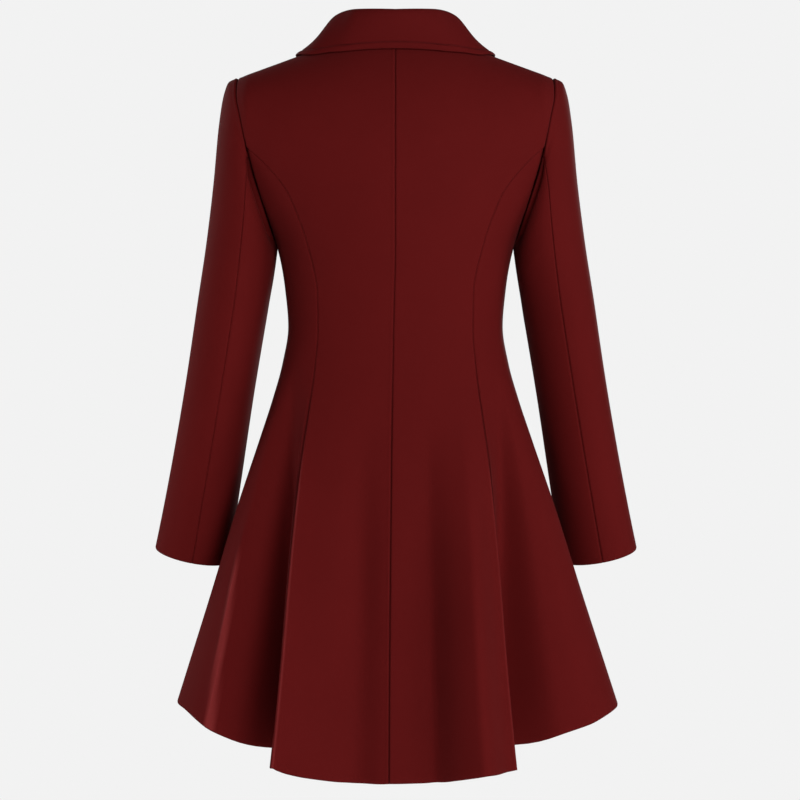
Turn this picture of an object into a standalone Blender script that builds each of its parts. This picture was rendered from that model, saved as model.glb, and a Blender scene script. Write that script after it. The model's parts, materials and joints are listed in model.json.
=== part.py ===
"""Fit-and-flare princess coat, filled out, made of sewn cloth panels.

Metres, +Z up.  The wearer faces -Y, the wearer's left is +X.  The origin is
on the centre line at mid-shoulder height, where the shoulders carry the coat.

The body is one smooth surface, worked out ring by ring from the tables below.
A place on a ring is a station number: 0 centre back, 2 back princess seam,
5 side seam, 7 front princess seam, 9 centre front.  Above the blade line the
back and the front roll over to the shoulder seams.  Each panel is a stretch
of that surface between two seams, thickened inwards.
"""
import math

import bmesh
import bpy
import numpy as np
from mathutils import Vector

# ---------------------------------------------------------------- sizes (m)
WALL = 0.0021            # coat cloth of the body and the sleeves
COLLAR_WALL = 0.0024     # collar cloth, two layers pressed together
SEAM_GAP = 0.0005        # between neighbouring pieces
RIDGE_GAP = 0.0013       # between front and back along the shoulder seam

BLADE_Z = -0.120         # blade line: rings below it, rolled shoulders above
UNDERARM_Z = -0.236      # foot of the armhole, top of the side seam
TIP_X, TIP_Z = 0.194, -0.027     # shoulder tip
SHOULDER_SLOPE = 0.372   # rise over run of the shoulder line
NECK_HALF = 0.077        # half width of the neck seam
NECK_BACK = 0.058        # neck seam, depth behind the shoulder line
NECK_FRONT = 0.094       # neck seam, depth before the shoulder line
RIDGE_Y = -0.004         # where the shoulder seam lies, front to back
SQUARE = 0.020           # how much squarer than an oval the rings are

FOLD_TOP_Z = -0.370      # the flare's folds start here
FOLD_LOW_Z = -0.870      # and reach their full depth here
FOLD_EASE = 0.12         # how softly they start

WRAP = 0.022             # fronts run past the centre line by this much
WRAP_LIFT = 0.0017       # and lie this far over and under the common form

BUTTON_RADIUS = 0.0115
BUTTON_DEPTH = 0.0042
BUTTON_ROUND = 0.0011
BUTTON_CLEAR = 0.0005
BUTTON_TOP_Z = -0.150
BUTTON_PITCH = 0.088
BUTTON_COUNT = 5

# ------------------------------------------------------------------- tables
# rings of the body: half width, where it is widest, centre back, centre front
RING_COLUMNS = ("z", "half_width", "widest_y", "back_y", "front_y")
RINGS = (
    (-0.120, 0.2150, 0.000, 0.104, -0.113),
    (-0.180, 0.1780, 0.000, 0.103, -0.125),
    (-0.236, 0.1465, 0.000, 0.098, -0.130),
    (-0.290, 0.1364, 0.000, 0.087, -0.121),
    (-0.335, 0.1327, 0.002, 0.080, -0.110),
    (-0.380, 0.1395, 0.008, 0.085, -0.112),
    (-0.425, 0.1516, 0.016, 0.095, -0.118),
    (-0.470, 0.1660, 0.024, 0.106, -0.125),
    (-0.560, 0.1955, 0.038, 0.129, -0.138),
    (-0.660, 0.2263, 0.040, 0.154, -0.152),
    (-0.760, 0.2583, 0.038, 0.179, -0.166),
    (-0.870, 0.2935, 0.034, 0.205, -0.181),
)

# princess seams: distance from the centre line, back and front
PRINCESS_COLUMNS = ("z", "back_x", "front_x")
PRINCESS = (
    (-0.120, 0.1804, 0.1700),
    (-0.142, 0.1567, 0.1500),
    (-0.176, 0.1300, 0.1260),
    (-0.202, 0.1187, 0.1140),
    (-0.232, 0.1081, 0.1040),
    (-0.300, 0.0945, 0.0900),
    (-0.340, 0.0942, 0.0860),
    (-0.387, 0.0975, 0.0890),
    (-0.488, 0.1104, 0.1000),
    (-0.608, 0.1215, 0.1150),
    (-0.743, 0.1308, 0.1320),
    (-0.870, 0.1420, 0.1480),
)

# armhole edge: distance from the centre line, back and front
ARMHOLE_COLUMNS = ("z", "back_x", "front_x")
ARMHOLE = (
    (-0.236, 0.1465, 0.1465),
    (-0.206, 0.1553, 0.1505),
    (-0.181, 0.1633, 0.1555),
    (-0.151, 0.1726, 0.1620),
    (-0.120, 0.1804, 0.1700),
    (-0.083, 0.1882, 0.1810),
    (-0.053, 0.1936, 0.1900),
    (-0.027, 0.1940, 0.1940),
)

# hem height round the coat: longest at the centre back
HEM_COLUMNS = ("station", "left_z", "right_z")
HEM = (
    (0.0, -0.8600, -0.8600),
    (0.5, -0.8610, -0.8601),
    (0.75, -0.8596, -0.8581),
    (1.0, -0.8571, -0.8524),
    (1.25, -0.8543, -0.8474),
    (1.5, -0.8510, -0.8440),
    (1.75, -0.8464, -0.8464),
    (1.9, -0.8424, -0.8468),
    (2.0, -0.8395, -0.8460),
    (3.0, -0.8427, -0.8394),
    (3.25, -0.8377, -0.8330),
    (3.5, -0.8270, -0.8197),
    (4.0, -0.8054, -0.8062),
    (4.5, -0.7934, -0.7982),
    (5.0, -0.7910, -0.7937),
    (6.0, -0.7770, -0.7770),
    (7.0, -0.7690, -0.7690),
    (9.0, -0.7630, -0.7630),
)

# centre back seam: how far it wanders towards the wearer's left
DRIFT_COLUMNS = ("z", "x")
DRIFT = ((-0.870, 0.0070), (-0.500, 0.0045), (-0.335, 0.0020), (-0.240, 0.0),
         (0.100, 0.0))

# the flare's largest folds at full depth: moved aside from the centre line
# and to the back.  The back panels stand proud along the princess seams and
# the side backs are tucked in behind them.
FOLD_COLUMNS = ("station", "left_aside", "left_back", "right_aside",
                "right_back")
BACK_FOLDS = (
    (0.0, 0.000, 0.000, 0.000, 0.000),
    (1.0, 0.000, 0.002, 0.000, 0.000),
    (1.5, 0.000, 0.013, 0.000, 0.002),
    (2.0, 0.000, 0.034, 0.000, 0.006),
)
SIDE_FOLDS = (
    (2.0, 0.000, 0.034, 0.000, 0.006),
    (2.12, -0.009, 0.017, -0.018, -0.006),
    (2.4, -0.056, -0.018, -0.060, -0.034),
    (3.0, -0.102, -0.072, -0.106, -0.070),
    (3.5, -0.062, -0.012, -0.053, -0.013),
    (4.0, -0.032, 0.024, -0.021, 0.001),
    (5.0, -0.003, 0.000, 0.002, 0.000),
    (6.0, -0.020, 0.010, -0.018, 0.012),
    (7.0, 0.000, -0.006, 0.000, -0.006),
    (8.0, 0.000, 0.004, 0.000, 0.003),
    (9.0, 0.000, 0.000, 0.000, 0.000),
)

# soft upright waves in the back panels: ridges stand out, troughs in; they
# start at the top height, are whole at the full height, and lean from one
# station to another
WAVE_COLUMNS = ("side", "station_top", "station_hem", "inner", "outer",
                "firm", "height", "top_z", "full_z")
WAVES = (
    (+1, 0.56, 0.54, 0.36, 0.36, 0.0, -0.013, -0.420, -0.660),
    (-1, 1.66, 1.63, 0.96, 0.42, 1.0, 0.050, -0.400, -0.740),
    (-1, 0.74, 0.70, 0.60, 0.25, 0.0, -0.008, -0.420, -0.740),
)

# sleeve rings from the armhole to the cuff: outermost and innermost points,
# middle and half depth front to back, and how far the back edge drops
SLEEVE_COLUMNS = ("outer_x", "outer_z", "inner_x", "inner_z", "mid_y",
                  "half_depth", "drop", "hind")
SLEEVE = (
    (0.1940, -0.0270, 0.1458, -0.2385, -0.004, 0.0660, 0.000, 96.0),
    (0.2054, -0.0304, 0.1464, -0.2425, -0.004, 0.0665, 0.000, 95.6),
    (0.2127, -0.0478, 0.1474, -0.2480, -0.003, 0.0670, 0.000, 95.2),
    (0.2188, -0.0850, 0.1492, -0.2600, -0.003, 0.0680, 0.001, 94.9),
    (0.2255, -0.1550, 0.1521, -0.2780, -0.004, 0.0670, 0.002, 95.2),
    (0.2347, -0.2300, 0.1560, -0.2990, -0.006, 0.0650, 0.004, 96.5),
    (0.2455, -0.3000, 0.1602, -0.3230, -0.009, 0.0630, 0.006, 97.5),
    (0.2610, -0.4000, 0.1762, -0.4160, -0.015, 0.0600, 0.007, 97.5),
    (0.2812, -0.5100, 0.1935, -0.5270, -0.026, 0.0550, 0.007, 96.5),
    (0.3025, -0.6085, 0.2095, -0.6280, -0.042, 0.0500, 0.007, 96.0),
)
CAP_LAST = 4.0           # the sleeve takes up the armhole's own form till here
FORE_SEAM = math.radians(-108.0)   # front sleeve seam, from the outermost line
SLEEVE_TWIST = {1: 0.000, -1: 0.010}   # outer edge set back, left and right
HIND_TURN = {1: 0.0, -1: -6.0}         # back sleeve seam turned, degrees

# collar: round the neck from the centre back, height of the roll, its lean
# outwards, the fall's edge as a place on the shoulders, and how far the fall
# swells outwards below its roll and above its edge
COLLAR_COLUMNS = ("turn", "roll_z", "lean", "edge_x", "edge_over", "roll_out",
                  "edge_out")
COLLAR = (
    (0.0, 0.0459, 0.0103, 0.0000, 51.5, 0.0110, 0.004),
    (30.0, 0.0480, 0.0101, 0.0554, 53.9, 0.0100, 0.003),
    (45.0, 0.0495, 0.0042, 0.0822, 58.9, 0.0080, 0.002),
    (65.0, 0.0475, 0.0015, 0.1032, 64.2, 0.0092, 0.001),
    (90.0, 0.0437, -0.0034, 0.1220, 87.5, 0.0066, -0.010),
    (120.0, 0.0200, 0.0050, 0.1180, 122.0, 0.0080, 0.002),
    (150.0, -0.0200, 0.0100, 0.0880, 155.0, 0.0110, 0.004),
    (174.0, -0.0440, 0.0100, 0.0520, 175.0, 0.0110, 0.004),
)
COLLAR_END = 174.0
EDGE_CLEAR = 0.0026      # fall's middle layer over the shoulders at its edge

# -------------------------------------------------------------- mesh density
ROWS_LOW = 17
ROWS_TOP = (0.2, 0.4, 0.6, 0.8, 0.95, 1.0)
COLS_BACK, COLS_SIDE_BACK, COLS_SIDE_FRONT, COLS_FRONT = 9, 10, 7, 10
SLEEVE_ROWS, COLS_UPPER, COLS_UNDER = 13, 11, 9
SEAM_EDGE = 0.004        # width of the strip beside a seam
COLLAR_TURNS, COLLAR_STAND, COLLAR_FALL = 30, 4, 6

# ----------------------------------------------------------------- materials
CLOTH_COLOUR = (0.085, 0.0075, 0.0075, 1.0)
BUTTON_COLOUR = (0.035, 0.006, 0.007, 1.0)


# ------------------------------------------------------------ smooth columns
def end_slope(h0, h1, d0, d1):
    s = ((2 * h0 + h1) * d0 - h0 * d1) / (h0 + h1)
    if s * d0 <= 0:
        return 0.0
    if d0 * d1 <= 0 and abs(s) > 3 * abs(d0):
        return 3 * d0
    return s


class Column:
    """A smooth curve through two columns of a table, without overshoot."""

    def __init__(self, names, rows, along, value):
        pairs = sorted((r[names.index(along)], r[names.index(value)])
                       for r in rows)
        self.x = np.array([p[0] for p in pairs], float)
        self.y = np.array([p[1] for p in pairs], float)
        h = np.diff(self.x)
        d = np.diff(self.y) / h
        m = np.zeros(len(self.x))
        for i in range(1, len(m) - 1):
            if d[i - 1] * d[i] > 0:
                a, b = 2 * h[i] + h[i - 1], h[i] + 2 * h[i - 1]
                m[i] = (a + b) / (a / d[i - 1] + b / d[i])
        if len(m) > 2:
            m[0] = end_slope(h[0], h[1], d[0], d[1])
            m[-1] = end_slope(h[-1], h[-2], d[-1], d[-2])
        else:
            m[:] = d[0]
        self.m = m

    def __call__(self, at):
        at = np.asarray(at, float)
        c = np.clip(at, self.x[0], self.x[-1])
        i = np.clip(np.searchsorted(self.x, c, side="right") - 1, 0,
                    len(self.x) - 2)
        h = self.x[i + 1] - self.x[i]
        t = (c - self.x[i]) / h
        y = ((1 + 2 * t) * (1 - t) ** 2 * self.y[i]
             + t * (1 - t) ** 2 * h * self.m[i]
             + t * t * (3 - 2 * t) * self.y[i + 1]
             + t * t * (t - 1) * h * self.m[i + 1])
        slope = np.where(at < self.x[0], self.m[0],
                         np.where(at > self.x[-1], self.m[-1], 0.0))
        return y + (at - c) * slope


half_width = Column(RING_COLUMNS, RINGS, "z", "half_width")
widest_y = Column(RING_COLUMNS, RINGS, "z", "widest_y")
back_y = Column(RING_COLUMNS, RINGS, "z", "back_y")
front_y = Column(RING_COLUMNS, RINGS, "z", "front_y")
princess_back = Column(PRINCESS_COLUMNS, PRINCESS, "z", "back_x")
princess_front = Column(PRINCESS_COLUMNS, PRINCESS, "z", "front_x")
armhole_back = Column(ARMHOLE_COLUMNS, ARMHOLE, "z", "back_x")
armhole_front = Column(ARMHOLE_COLUMNS, ARMHOLE, "z", "front_x")
hem_left = Column(HEM_COLUMNS, HEM, "station", "left_z")
hem_right = Column(HEM_COLUMNS, HEM, "station", "right_z")
drift_x = Column(DRIFT_COLUMNS, DRIFT, "z", "x")
fold_curves = {
    (zone, name): Column(FOLD_COLUMNS, rows, "station", name)
    for zone, rows in (("back", BACK_FOLDS), ("side", SIDE_FOLDS))
    for name in FOLD_COLUMNS[1:]}
collar_at = {name: Column(COLLAR_COLUMNS, COLLAR, "turn", name)
             for name in COLLAR_COLUMNS[1:]}


# ------------------------------------------------------------------ the body
def round_x(psi):
    return (np.sin(psi) + SQUARE * np.sin(3 * psi)) / (1 - SQUARE)


def round_y(psi):
    return (np.cos(psi) - SQUARE * np.cos(3 * psi)) / (1 - SQUARE)


def turn_for(ratio):
    """Turn from the centre back whose ring point lies at this part of the
    half width."""
    ratio = np.clip(ratio, 0.0, 0.9995)
    psi = np.arcsin(ratio)
    for _ in range(8):
        slope = (np.cos(psi) + 3 * SQUARE * np.cos(3 * psi)) / (1 - SQUARE)
        psi = psi - (round_x(psi) - ratio) / np.maximum(slope, 0.05)
        psi = np.clip(psi, 0.0, math.pi / 2)
    return psi


def fold_growth(z):
    r = np.clip((FOLD_TOP_Z - z) / (FOLD_TOP_Z - FOLD_LOW_Z), 0.0, 1.2)
    return r * r * (1 + FOLD_EASE) / (r + FOLD_EASE)


def unmirror(side, station):
    """Stations past the centre lines belong to the other half."""
    station = np.asarray(station, float)
    side = np.where((station < 0) | (station > 9), -side, side)
    station = np.where(station < 0, -station, station)
    return side, np.where(station > 9, 18 - station, station)


def hem_z(side, station):
    s, q = unmirror(side, station)
    return np.where(s > 0, hem_left(q), hem_right(q))


def soft_step(t):
    t = np.clip(t, 0.0, 1.0)
    return t * t * (3 - 2 * t)


def wave_form(off, inner, outer, firm):
    """Across a wave; a firm one rises from a narrow foot on its inner side."""
    soft = np.exp(-(off / np.where(off < 0, inner, outer)) ** 2)
    v = 1 - np.abs(off / inner) ** 1.6
    arch = (v + np.sqrt(v * v + 0.006)) / 2.003
    return np.where(off < 0, soft + (arch - soft) * firm, soft)


def ring_turn(q, z):
    pb = turn_for(princess_back(z) / half_width(z))
    pf = math.pi - turn_for(princess_front(z) / half_width(z))
    quarter = math.pi / 2
    return np.where(
        q <= 2, pb * q / 2,
        np.where(q <= 5, pb + (quarter - pb) * (q - 2) / 3,
                 np.where(q <= 7, quarter + (pf - quarter) * (q - 5) / 2,
                          pf + (math.pi - pf) * (q - 7) / 2)))


def ring_point(side, station, z):
    """Outer face of the cloth below the blade line."""
    z = np.asarray(z, float)
    s, q = unmirror(side, station)
    psi = ring_turn(q, z)
    mid = widest_y(z)
    c = round_y(psi)
    x = half_width(z) * round_x(psi)
    y = mid + np.where(c >= 0, back_y(z) - mid, mid - front_y(z)) * c
    grow = fold_growth(z)
    for label, sign in (("left", 1), ("right", -1)):
        here = np.where(s == sign, grow, 0.0)
        aside = np.where(q <= 2, fold_curves["back", label + "_aside"](q),
                         fold_curves["side", label + "_aside"](q))
        back = np.where(q <= 2, fold_curves["back", label + "_back"](q),
                        fold_curves["side", label + "_back"](q))
        x = x + aside * here
        y = y + back * here
    for (w_side, q_top, q_hem, inner, outer, firm, height, top_z,
         full_z) in WAVES:
        lean = np.clip((top_z - z) / (top_z - FOLD_LOW_Z), 0.0, 1.2)
        off = np.where(s == w_side, q, -q) - (q_top + (q_hem - q_top) * lean)
        y = y + height * soft_step((top_z - z) / (top_z - full_z)) \
            * wave_form(off, inner, outer, firm) * soft_step((2.0 - q) / 0.6)
    x = s * x + drift_x(z) * np.clip(1 - q / 2, 0, 1)
    return np.stack(np.broadcast_arrays(x, y, z), -1)


def plain_y(x, z, behind):
    """Front or back of the plain ring at a distance from the centre line."""
    psi = turn_for(np.abs(x) / half_width(z))
    mid = widest_y(z)
    depth = np.where(behind, back_y(z) - mid, front_y(z) - mid)
    return mid + depth * round_y(psi)


def ridge_z(x):
    """Height of the shoulder line, carried on over the neck."""
    x = np.abs(x)
    neck_z = TIP_Z + (TIP_X - NECK_HALF) * SHOULDER_SLOPE
    over_neck = neck_z + SHOULDER_SLOPE * NECK_HALF / 2 * (
        1 - (x / NECK_HALF) ** 2)
    return np.where(x < NECK_HALF, over_neck,
                    TIP_Z + (TIP_X - x) * SHOULDER_SLOPE)


def shoulder_point(x, over):
    """Surface above the blade line: over runs from 0 at the blade line of the
    back, by a quarter turn at the shoulder seam, to a half turn in front."""
    x, over = np.broadcast_arrays(np.asarray(x, float),
                                  np.asarray(over, float))
    behind = over <= math.pi / 2
    phi = np.where(behind, over, math.pi - over)
    top = ridge_z(x)
    y0 = plain_y(x, BLADE_Z, behind)
    y1 = plain_y(x, BLADE_Z - 0.004, behind)
    kick = np.clip((y0 - y1) / 0.004 * (top - BLADE_Z) / (y0 - RIDGE_Y),
                   -0.6, 0.6)
    y = RIDGE_Y + (y0 - RIDGE_Y) * np.cos(phi) * (1 + kick * np.sin(phi))
    z = BLADE_Z + (top - BLADE_Z) * np.sin(phi)
    return np.stack((x, y, z), -1)


def yoke_x(q, phi):
    """Distance from the centre line above the blade line."""
    behind = q < 4.5
    u = np.where(behind, q / 2, (9 - q) / 2)
    z_out = BLADE_Z + (TIP_Z - BLADE_Z) * np.sin(phi)
    spread = np.where(
        behind, armhole_back(z_out) / armhole_back(BLADE_Z),
        armhole_front(z_out) / armhole_front(BLADE_Z))
    x0 = half_width(BLADE_Z) * round_x(ring_turn(q, np.float64(BLADE_Z)))
    return x0 * (1 + (spread - 1) * u * u)


def yoke_point(side, station, phi):
    """Outer face above the blade line, phi from 0 up to a quarter turn."""
    s, q = unmirror(side, station)
    phi = np.asarray(phi, float)
    x = yoke_x(q, phi)
    over = np.where(q < 4.5, phi, math.pi - phi)
    p = shoulder_point(x, over)
    p[..., 0] = p[..., 0] * s
    return p


def neck_depth(x, behind):
    part = np.sqrt(np.clip(1 - (np.abs(x) / NECK_HALF) ** 2, 0, 1))
    return np.where(behind, NECK_BACK, NECK_FRONT) * part


def yoke_top(station):
    """Where a station meets the neck seam or the shoulder seam."""
    _, q = unmirror(1, station)
    lo = np.zeros_like(q)
    hi = np.full_like(q, math.pi / 2)
    for _ in range(40):
        mid = (lo + hi) / 2
        p = yoke_point(1, q, mid)
        outside = np.abs(p[..., 1] - RIDGE_Y) > neck_depth(p[..., 0], q < 4.5)
        lo = np.where(outside, mid, lo)
        hi = np.where(outside, hi, mid)
    return (lo + hi) / 2


def side_top(station):
    """Height at which a side panel's station meets the armhole."""
    _, q = unmirror(1, station)
    lo = np.full_like(q, UNDERARM_Z)
    hi = np.full_like(q, BLADE_Z)
    for _ in range(40):
        mid = (lo + hi) / 2
        x = half_width(mid) * round_x(ring_turn(q, mid))
        edge = np.where(q < 5, armhole_back(mid), armhole_front(mid))
        inside = x < edge
        lo = np.where(inside, mid, lo)
        hi = np.where(inside, hi, mid)
    return (lo + hi) / 2


def station_step(side, q, z, length):
    """Change of station that moves a ring point by a length."""
    d = 0.004
    span = ring_point(side, q + d, z) - ring_point(side, q - d, z)
    return length * 2 * d / np.linalg.norm(span, axis=-1)


# ------------------------------------------------------------ panels as grids
def lift_front(points, station, amount):
    """Moves a front panel out or in where the fronts lie on each other."""
    t = np.clip((station - 8.3) / 0.5, 0, 1)
    points[..., 1] -= amount * t * t * (3 - 2 * t)
    return points


def long_panel(side, q_in, q_out, columns, inset_in, inset_out, lift=0.0):
    """Back or front: from the hem over the blade line to neck and shoulder."""
    share = np.linspace(0.0, 1.0, columns)
    target = (share * (q_out - q_in) + q_in)
    # one column runs up to the end of the neck seam
    probe = np.linspace(q_in, q_out, 400)
    far = np.abs(yoke_x(unmirror(1, probe)[1], np.full(400, math.pi / 2))
                 - NECK_HALF)
    corner = probe[int(np.argmin(far))]
    near = int(np.argmin(np.abs(target - corner)))
    knots_q = [q_in, corner, q_out]
    knots_n = [0, near, columns - 1]
    target = np.interp(np.arange(columns), knots_n, knots_q)
    target[1] = q_in + SEAM_EDGE / 0.06
    target[-2] = q_out - SEAM_EDGE / 0.06
    grid = []
    for j in range(ROWS_LOW + len(ROWS_TOP) + 1):
        if j <= ROWS_LOW:
            v = j / ROWS_LOW
            z = hem_z(side, target)
            z = z + (BLADE_Z - z) * v
            q = target.copy()
            if q_out > 9.0:
                end = 9.0 + station_step(side, 9.0, z[-1], WRAP)
                q = q_in + (target - q_in) * (end - q_in) / (q_out - q_in)
            q[0] += station_step(side, target[0], z[0], inset_in)
            q[-1] -= station_step(side, q[-1], z[-1], inset_out)
            row = ring_point(side, q, z)
        else:
            v = ROWS_TOP[j - ROWS_LOW - 1]
            q = target.copy()
            q[0] += station_step(side, target[0], BLADE_Z, inset_in)
            q[-1] -= station_step(side, target[-1], BLADE_Z, inset_out)
            top = yoke_top(q)
            top = top - RIDGE_GAP / 2 / 0.11
            row = yoke_point(side, q, top * v)
        if lift:
            row = lift_front(row, q, lift)
        grid.append(row)
    return np.array(grid)


def side_panel(side, q_in, q_out, columns, tuck):
    """Side back or side front: from the hem up to the armhole."""
    target = np.linspace(q_in, q_out, columns)
    target[1] = q_in + SEAM_EDGE / 0.05
    target[-2] = q_out - SEAM_EDGE / 0.05
    top = side_top(target) - 0.0014
    hem = hem_z(side, target)
    grid = []
    for j in range(ROWS_LOW + 1):
        z = hem + (top - hem) * j / ROWS_LOW
        q = target.copy()
        first = SEAM_GAP / 2 + tuck * np.clip(fold_growth(z[0]) * 3, 0, 1)
        q[0] += station_step(side, target[0] + 0.02, z[0], first)
        q[1] = q[0] + station_step(side, target[0] + 0.06, z[0], SEAM_EDGE)
        q[-1] -= station_step(side, target[-1], z[-1], SEAM_GAP / 2)
        grid.append(ring_point(side, q, z))
    return np.array(grid)


# ---------------------------------------------------------------- the sleeves
sleeve_at = {}
for column_name in SLEEVE_COLUMNS:
    k = SLEEVE_COLUMNS.index(column_name)
    sleeve_at[column_name] = Column(
        ("ring", "value"), [(i, r[k]) for i, r in enumerate(SLEEVE)],
        "ring", "value")


def armhole_loop():
    """Edge of the left armhole from the shoulder tip down the back to the
    underarm and up the front, as two paths with their lengths."""
    paths = []
    for seam, foot in ((2.0, 5.0), (7.0, 5.0)):
        phi = np.linspace(math.pi / 2, 0.0, 30)
        upper = yoke_point(1, np.full(30, seam), phi)
        q = np.linspace(seam, foot, 40)[1:]
        lower = ring_point(1, q, side_top(q))
        path = np.concatenate((upper, lower))
        run = np.concatenate(([0.0], np.cumsum(np.linalg.norm(
            np.diff(path, axis=0), axis=1))))
        paths.append((path, run / run[-1]))
    return paths


ARMHOLE_PATHS = armhole_loop()


def armhole_point(theta):
    """Left armhole edge at a turn: 0 tip, +half turn down the back."""
    theta = (np.asarray(theta, float) + math.pi) % (2 * math.pi) - math.pi
    share = np.abs(theta) / math.pi
    out = []
    for path, run in ARMHOLE_PATHS:
        out.append(np.stack([np.interp(share, run, path[:, i])
                             for i in range(3)], -1))
    return np.where((theta >= 0)[..., None], out[0], out[1])


def sleeve_ring(theta, ring, side):
    c = {name: f(ring) for name, f in sleeve_at.items()}
    mx, mz = (c["outer_x"] + c["inner_x"]) / 2, (c["outer_z"] + c["inner_z"]) / 2
    ax, az = (c["outer_x"] - c["inner_x"]) / 2, (c["outer_z"] - c["inner_z"]) / 2
    x = mx + ax * np.cos(theta)
    twist = SLEEVE_TWIST[side] * np.clip((ring - CAP_LAST) / 2, 0, 1)
    y = c["mid_y"] + c["half_depth"] * np.sin(theta) + twist * np.cos(theta)
    z = mz + az * np.cos(theta) - c["drop"] * np.sin(theta)
    return np.stack(np.broadcast_arrays(x, y, z), -1)


def sleeve_span(part, ring, side):
    """Turns of a sleeve piece's two seams at a ring."""
    hind = np.radians(sleeve_at["hind"](ring)
                      + HIND_TURN[side] * np.clip(ring / 3.0, 0, 1))
    fore = np.full_like(hind, FORE_SEAM)
    return (fore, hind) if part == "upper" else (hind, fore + 2 * math.pi)


def sleeve_point(theta, ring, side):
    """Outer face of a sleeve, as on the left; ring 0 is the armhole edge."""
    theta, ring = np.broadcast_arrays(np.asarray(theta, float),
                                      np.asarray(ring, float))
    gap = armhole_point(theta) - sleeve_ring(theta, np.zeros_like(ring), side)
    fade = np.clip(1 - ring / CAP_LAST, 0, 1)[..., None]
    return sleeve_ring(theta, ring, side) + gap * fade ** 2


def sleeve_panel(side, part, columns):
    last = len(SLEEVE) - 1
    rings = last * np.linspace(0, 1, SLEEVE_ROWS) ** 1.25
    rings[0] = 0.05
    inset = SEAM_GAP / 2 / 0.045
    start, end = (turns[:, None] for turns in sleeve_span(part, rings, side))
    start, end = start + inset, end - inset
    theta = start + (end - start) * np.linspace(0, 1, columns)
    theta[:, 1:2] = start + SEAM_EDGE / 0.055
    theta[:, -2:-1] = end - SEAM_EDGE / 0.055
    grid = sleeve_point(theta, rings[:, None], side)
    grid[..., 0] *= side
    return grid


# ----------------------------------------------------------------- the collar
def collar_section(turn):
    """Neck seam, roll and edge of the collar at a turn from the centre back
    (degrees, left half)."""
    b = np.radians(turn)
    x = NECK_HALF * np.sin(b)
    deep = np.where(np.cos(b) >= 0, NECK_BACK, -NECK_FRONT) \
        * np.sqrt(np.clip(1 - np.sin(b) ** 2, 0, 1))
    lo = np.zeros_like(b)
    hi = np.full_like(b, math.pi)
    for _ in range(40):
        mid = (lo + hi) / 2
        behind = shoulder_point(x, mid)[..., 1] - RIDGE_Y > deep
        lo = np.where(behind, mid, lo)
        hi = np.where(behind, hi, mid)
    over = (lo + hi) / 2
    seam = shoulder_point(x, over)
    out = np.stack((np.sin(b), np.cos(b), np.zeros_like(b)), -1)
    up = np.array((0.0, 0.0, 1.0))
    rise = (0.0014 + 0.0030 * np.clip((turn - 95.0) / 60.0, 0, 1)
            + 0.0021 * np.clip((turn - 150.0) / 20.0, 0, 1))
    seam = seam + up * rise[..., None] - out * 0.0012
    roll = seam + out * collar_at["lean"](turn)[..., None]
    roll[..., 2] = collar_at["roll_z"](turn)
    ex = collar_at["edge_x"](turn)
    eo = np.radians(collar_at["edge_over"](turn))
    d = 0.002
    along = shoulder_point(ex + d, eo) - shoulder_point(ex - d, eo)
    across = shoulder_point(ex, eo + d) - shoulder_point(ex, eo - d)
    normal = np.cross(across, along)
    normal /= np.linalg.norm(normal, axis=-1)[..., None]
    normal = np.where(normal[..., 2:3] < -0.2, -normal, normal)
    edge = shoulder_point(ex, eo) + normal * EDGE_CLEAR
    swell = [out * collar_at[name](turn)[..., None]
             for name in ("roll_out", "edge_out")]
    return seam, roll, edge, out, swell


def bezier(p0, p1, p2, p3, t):
    return ((1 - t) ** 3 * p0 + 3 * t * (1 - t) ** 2 * p1
            + 3 * t * t * (1 - t) * p2 + t ** 3 * p3)


def collar_grid():
    turns = np.linspace(-COLLAR_END, COLLAR_END, COLLAR_TURNS + 1)
    seam, roll, edge, out, swell = collar_section(np.abs(turns))
    up = np.array((0.0, 0.0, 1.0))
    stand = (roll - seam)[:, 2:3]
    rows = []
    for t in np.linspace(0, 1, COLLAR_STAND + 1)[:-1]:
        rows.append(bezier(seam, seam + up * stand * 0.55,
                           roll - out * 0.0065, roll, t))
    reach = np.linalg.norm(edge - roll, axis=1)[:, None]
    fall = (roll - edge) / reach
    for t in np.linspace(0, 1, COLLAR_FALL + 1) ** 1.2:
        rows.append(bezier(roll, roll + swell[0],
                           edge + fall * reach * 0.45 + swell[1], edge, t))
    grid = np.array(rows)
    grid[..., 0] *= np.where(turns < 0, -1.0, 1.0)[None, :]
    return grid


# ---------------------------------------------------------- pieces of the coat
for old in list(bpy.data.objects):
    bpy.data.objects.remove(old, do_unlink=True)

coat = bpy.data.collections.new("princess_coat")
bpy.context.scene.collection.children.link(coat)
hanger = bpy.data.objects.new("coat_frame", None)
hanger.empty_display_size = 0.05
coat.objects.link(hanger)


def make_material(name, colour, roughness):
    mat = bpy.data.materials.new(name)
    mat.use_nodes = True
    shader = mat.node_tree.nodes["Principled BSDF"]
    shader.inputs["Base Color"].default_value = colour
    shader.inputs["Roughness"].default_value = roughness
    shader.inputs["Metallic"].default_value = 0.0
    mat.diffuse_color = colour
    return mat


def place(name, mesh, material):
    obj = bpy.data.objects.new(name, mesh)
    obj.parent = hanger
    coat.objects.link(obj)
    mesh.materials.append(material)
    mesh.shade_smooth()
    return obj


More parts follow.
